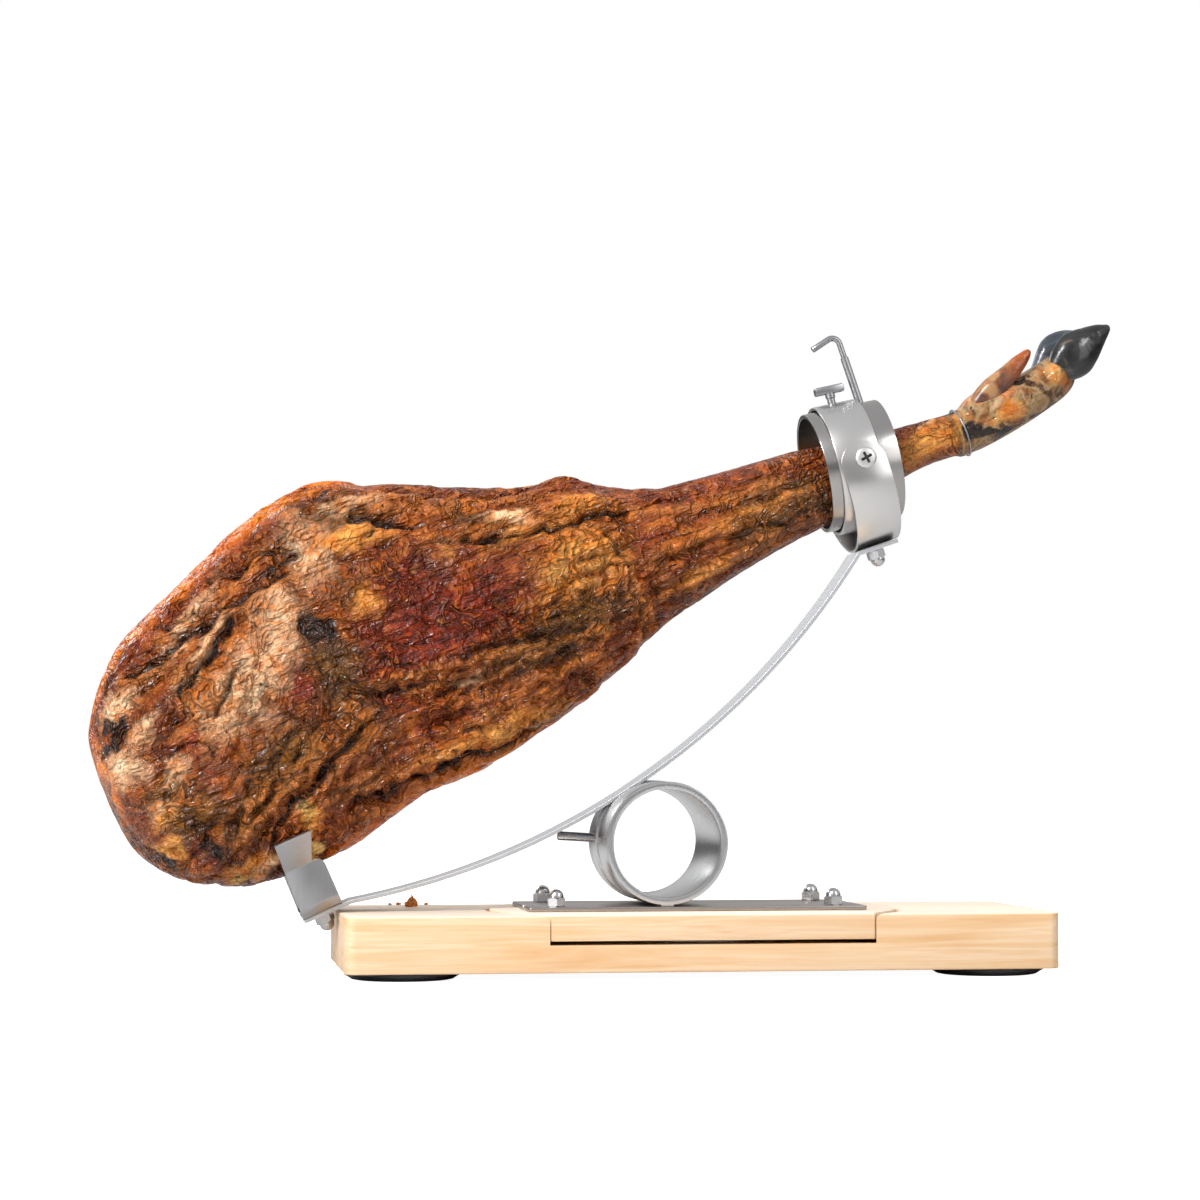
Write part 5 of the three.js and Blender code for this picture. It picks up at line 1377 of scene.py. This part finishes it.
# Hoof: rows of along, across, through, half height and half width.
NEAR_TOE = [(380, 84, -8, 9, 7), (390, 89, -9, 14.5, 9.6), (400, 92, -9.5, 18.2, 11),
            (409, 93.6, -9.5, 17.8, 10.6), (418, 96.4, -9.5, 14.2, 8.6), (426, 99.4, -9, 10.2, 6.4),
            (434, 101.8, -8.8, 5.6, 4), (439.5, 103, -8.5, 2, 1.8)]
FAR_TOE = [(370, 86, 8, 6, 5), (381, 94, 9, 9.5, 7), (392, 100.4, 10, 13.4, 8.6),
           (402, 101.4, 10.5, 14.4, 8), (413, 102.6, 10.5, 11, 6), (424.5, 104, 10, 3, 2)]
NEAR_CLAW = [(310, 81, -6.5, 8, 7), (328, 90, -9.5, 10, 8), (344, 96.8, -11.5, 8.4, 6.6),
             (357, 102.8, -12.3, 6.4, 5.2), (365.5, 107.2, -12.5, 4, 3.4), (369.5, 109.2, -12.5, 1.6, 1.4)]
FAR_CLAW = [(324, 82, 8, 8, 7), (342, 89, 12, 7.8, 6.2), (354, 94.5, 13, 6.2, 5), (363, 98.5, 13.5, 2, 2)]


def make_toe(name, rows, material, grain, lean=1.0):
    """A toe or claw: a ball drawn out over rows of sections."""
    rows = np.array(rows, dtype=float)
    deselect()
    bpy.ops.mesh.primitive_uv_sphere_add(segments=64, ring_count=72, radius=1)
    toe = named(name)
    mesh = toe.data
    ball = np.empty(len(mesh.vertices) * 3)
    mesh.vertices.foreach_get("co", ball)
    ball = ball.reshape(-1, 3)
    share = np.arccos(np.clip(ball[:, 2], -1, 1)) / math.pi
    angle = np.arctan2(ball[:, 1], ball[:, 0])
    t = share * (len(rows) - 1)
    p, q, y, tall, wide = (through(rows[:, i], t) for i in range(5))
    before, after = np.maximum(t - 0.2, 0), np.minimum(t + 0.2, len(rows) - 1)
    run, rise = (through(rows[:, i], after) - through(rows[:, i], before) for i in (0, 1))
    slope = lean * np.arctan2(rise, run)
    cap = np.sqrt(np.clip(1 - (1 - np.minimum(1, np.minimum(share, 1 - share) * 14)) ** 2, 0, 1))
    across = tall * cap * np.sign(np.sin(angle)) * np.abs(np.sin(angle)) ** 0.9
    x, z = ham_place(p - across * np.sin(slope), q + across * np.cos(slope))
    through_y = y - wide * cap * np.cos(angle)
    points = np.stack([x, through_y, z], 1)
    grain_height = grain * (field(points / 6, 3, 21.0) - 0.3)
    outward = np.stack([-across * np.sin(slope), -wide * np.cos(angle), across * np.cos(slope)], 1)
    outward /= np.linalg.norm(outward, axis=1)[:, None] + 1e-6
    points += outward * grain_height[:, None]
    mesh.vertices.foreach_set("co", (points * MM).ravel())
    mesh.update()
    edit(toe)
    close_up()
    smooth(toe, 180)
    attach(toe, "arm")
    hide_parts("ham")
    mesh.materials.append(material)


def make_heel():
    """Lump of fat pressed down into the cradle."""
    deselect()
    bpy.ops.mesh.primitive_uv_sphere_add(segments=64, ring_count=48, radius=1)
    heel = named("heel_fat")
    for vertex in heel.data.vertices:
        n = vertex.co.copy()
        swell = 1 + 0.05 * noise.noise(n * 2.3)
        vertex.co = Vector((n.x * 12.8, max(-30, min(30, n.y * 32)), n.z * 42)) * (swell * MM)
    x, z = ham_place(-312, -48)
    settle(heel, at(x, 0, z) @ turn(-HAM_TILT, "Y"))
    smooth(heel, 180)
    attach(heel, "arm")
    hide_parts("ham")
    f = Finish("Cured fat")
    tone = f.noise(60, 4, 0.6, 0.8)
    colour = f.ramp(tone, [(0.35, rgb(150, 86, 36)), (0.6, rgb(222, 168, 92))])
    heel.data.materials.append(f.done(colour, 0.35, 0.0, f.bump(tone, 0.002, 0.5)))


# Wire round the ankle: its place along and across the ham, its half height, half width and thickness.
TIE = {"at": (295, 68.5), "tall": 19.2, "wide": 18.0, "wire": 0.7}


def make_tie():
    """Wire loop left round the ankle."""
    deselect()
    bpy.ops.mesh.primitive_torus_add(major_radius=TIE["tall"] * MM, minor_radius=TIE["wire"] * MM,
                                     major_segments=96, minor_segments=12)
    tie = named("ankle_tie")
    x, z = ham_place(*TIE["at"])
    squeezed = Matrix.Diagonal((1, TIE["wide"] / TIE["tall"], 1, 1))
    settle(tie, at(x, 0, z) @ turn(-HAM_TILT, "Y") @ turn(math.pi / 2, "Y") @ squeezed)
    smooth(tie, 60)
    mount(tie, "arm", ["ankle_tie"], DARK_STEEL)


# Crumbs on the board: along, across, width, height, and turn.
CRUMBS = [(-209, 59, 7.0, 9.0, 0.3), (-212.5, 60, 4.5, 4.5, 1.2), (-224, 92, 3.0, 1.8, 0.0),
          (-217, 93, 4.0, 2.2, 0.8), (-211, 91, 2.4, 1.6, 2.0), (-195, 92, 3.2, 1.8, 1.4)]


def make_crumbs():
    """Dry crumbs of ham that lie on the board."""
    f = Finish("Dry crumb")
    tone = f.noise(300, 3, 0.6, 0.5)
    colour = f.ramp(tone, [(0.35, rgb(150, 70, 20)), (0.6, rgb(226, 150, 66))])
    crumb_finish = f.done(colour, 0.4, 0.0, f.bump(tone, 0.0008, 0.6))
    for number, (x, y, wide, tall, angle) in enumerate(CRUMBS, 1):
        deselect()
        bpy.ops.mesh.primitive_ico_sphere_add(subdivisions=4, radius=1)
        crumb = named(f"crumb_{number}")
        for vertex in crumb.data.vertices:
            n = vertex.co.copy()
            swell = 0.5 * (1 + 0.55 * noise.noise(n * 1.7 + Vector((number, 0, 0))))
            height = max(-0.42, n.z * swell) + 0.42
            taper = 1.3 - 0.7 * height
            vertex.co = Vector((n.x * swell * wide * taper, n.y * swell * wide, height * tall)) * MM
        settle(crumb, at(x + FRAME_X, y, BOARD["top"] + 0.2) @ turn(angle, "Z"))
        smooth(crumb, 180)
        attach(crumb, "base")
        crumb.data.materials.append(crumb_finish)


CRADLE_STEEL = steel_finish("Brushed steel cradle", (0.38, 0.38, 0.39), 0.32, 0.2, (1, 1, 0.04))
HAM_SKIN = ham_finish()

make_board()
make_plate()
make_tube()
make_bar()
make_cradle()
make_head()
make_ham()
make_heel()
black_horn = hoof_finish("Black horn", rgb(20, 20, 22), rgb(92, 78, 62), rgb(40, 39, 40))
make_toe("toe_near", NEAR_TOE, black_horn, 0.25, 0.3)
grey_horn = hoof_finish("Grey horn", rgb(44, 48, 54), rgb(104, 104, 106), rgb(74, 80, 90))
make_toe("toe_far", FAR_TOE, grey_horn, 0.2, 0.5)
orange_horn = hoof_finish("Orange claw", rgb(120, 54, 14), rgb(188, 100, 34), rgb(152, 72, 18), 350)
make_toe("claw_near", NEAR_CLAW, orange_horn, 0.25)
brown_horn = hoof_finish("Brown claw", rgb(92, 50, 24), rgb(170, 110, 64), rgb(130, 76, 38), 345)
make_toe("claw_far", FAR_CLAW, brown_horn, 0.25)
make_tie()
make_crumbs()
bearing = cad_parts["turntable_bearing"]
bearing.data.materials.clear()
bearing.data.materials.append(steel_finish("Bearing steel", (0.55, 0.54, 0.52), 0.35))
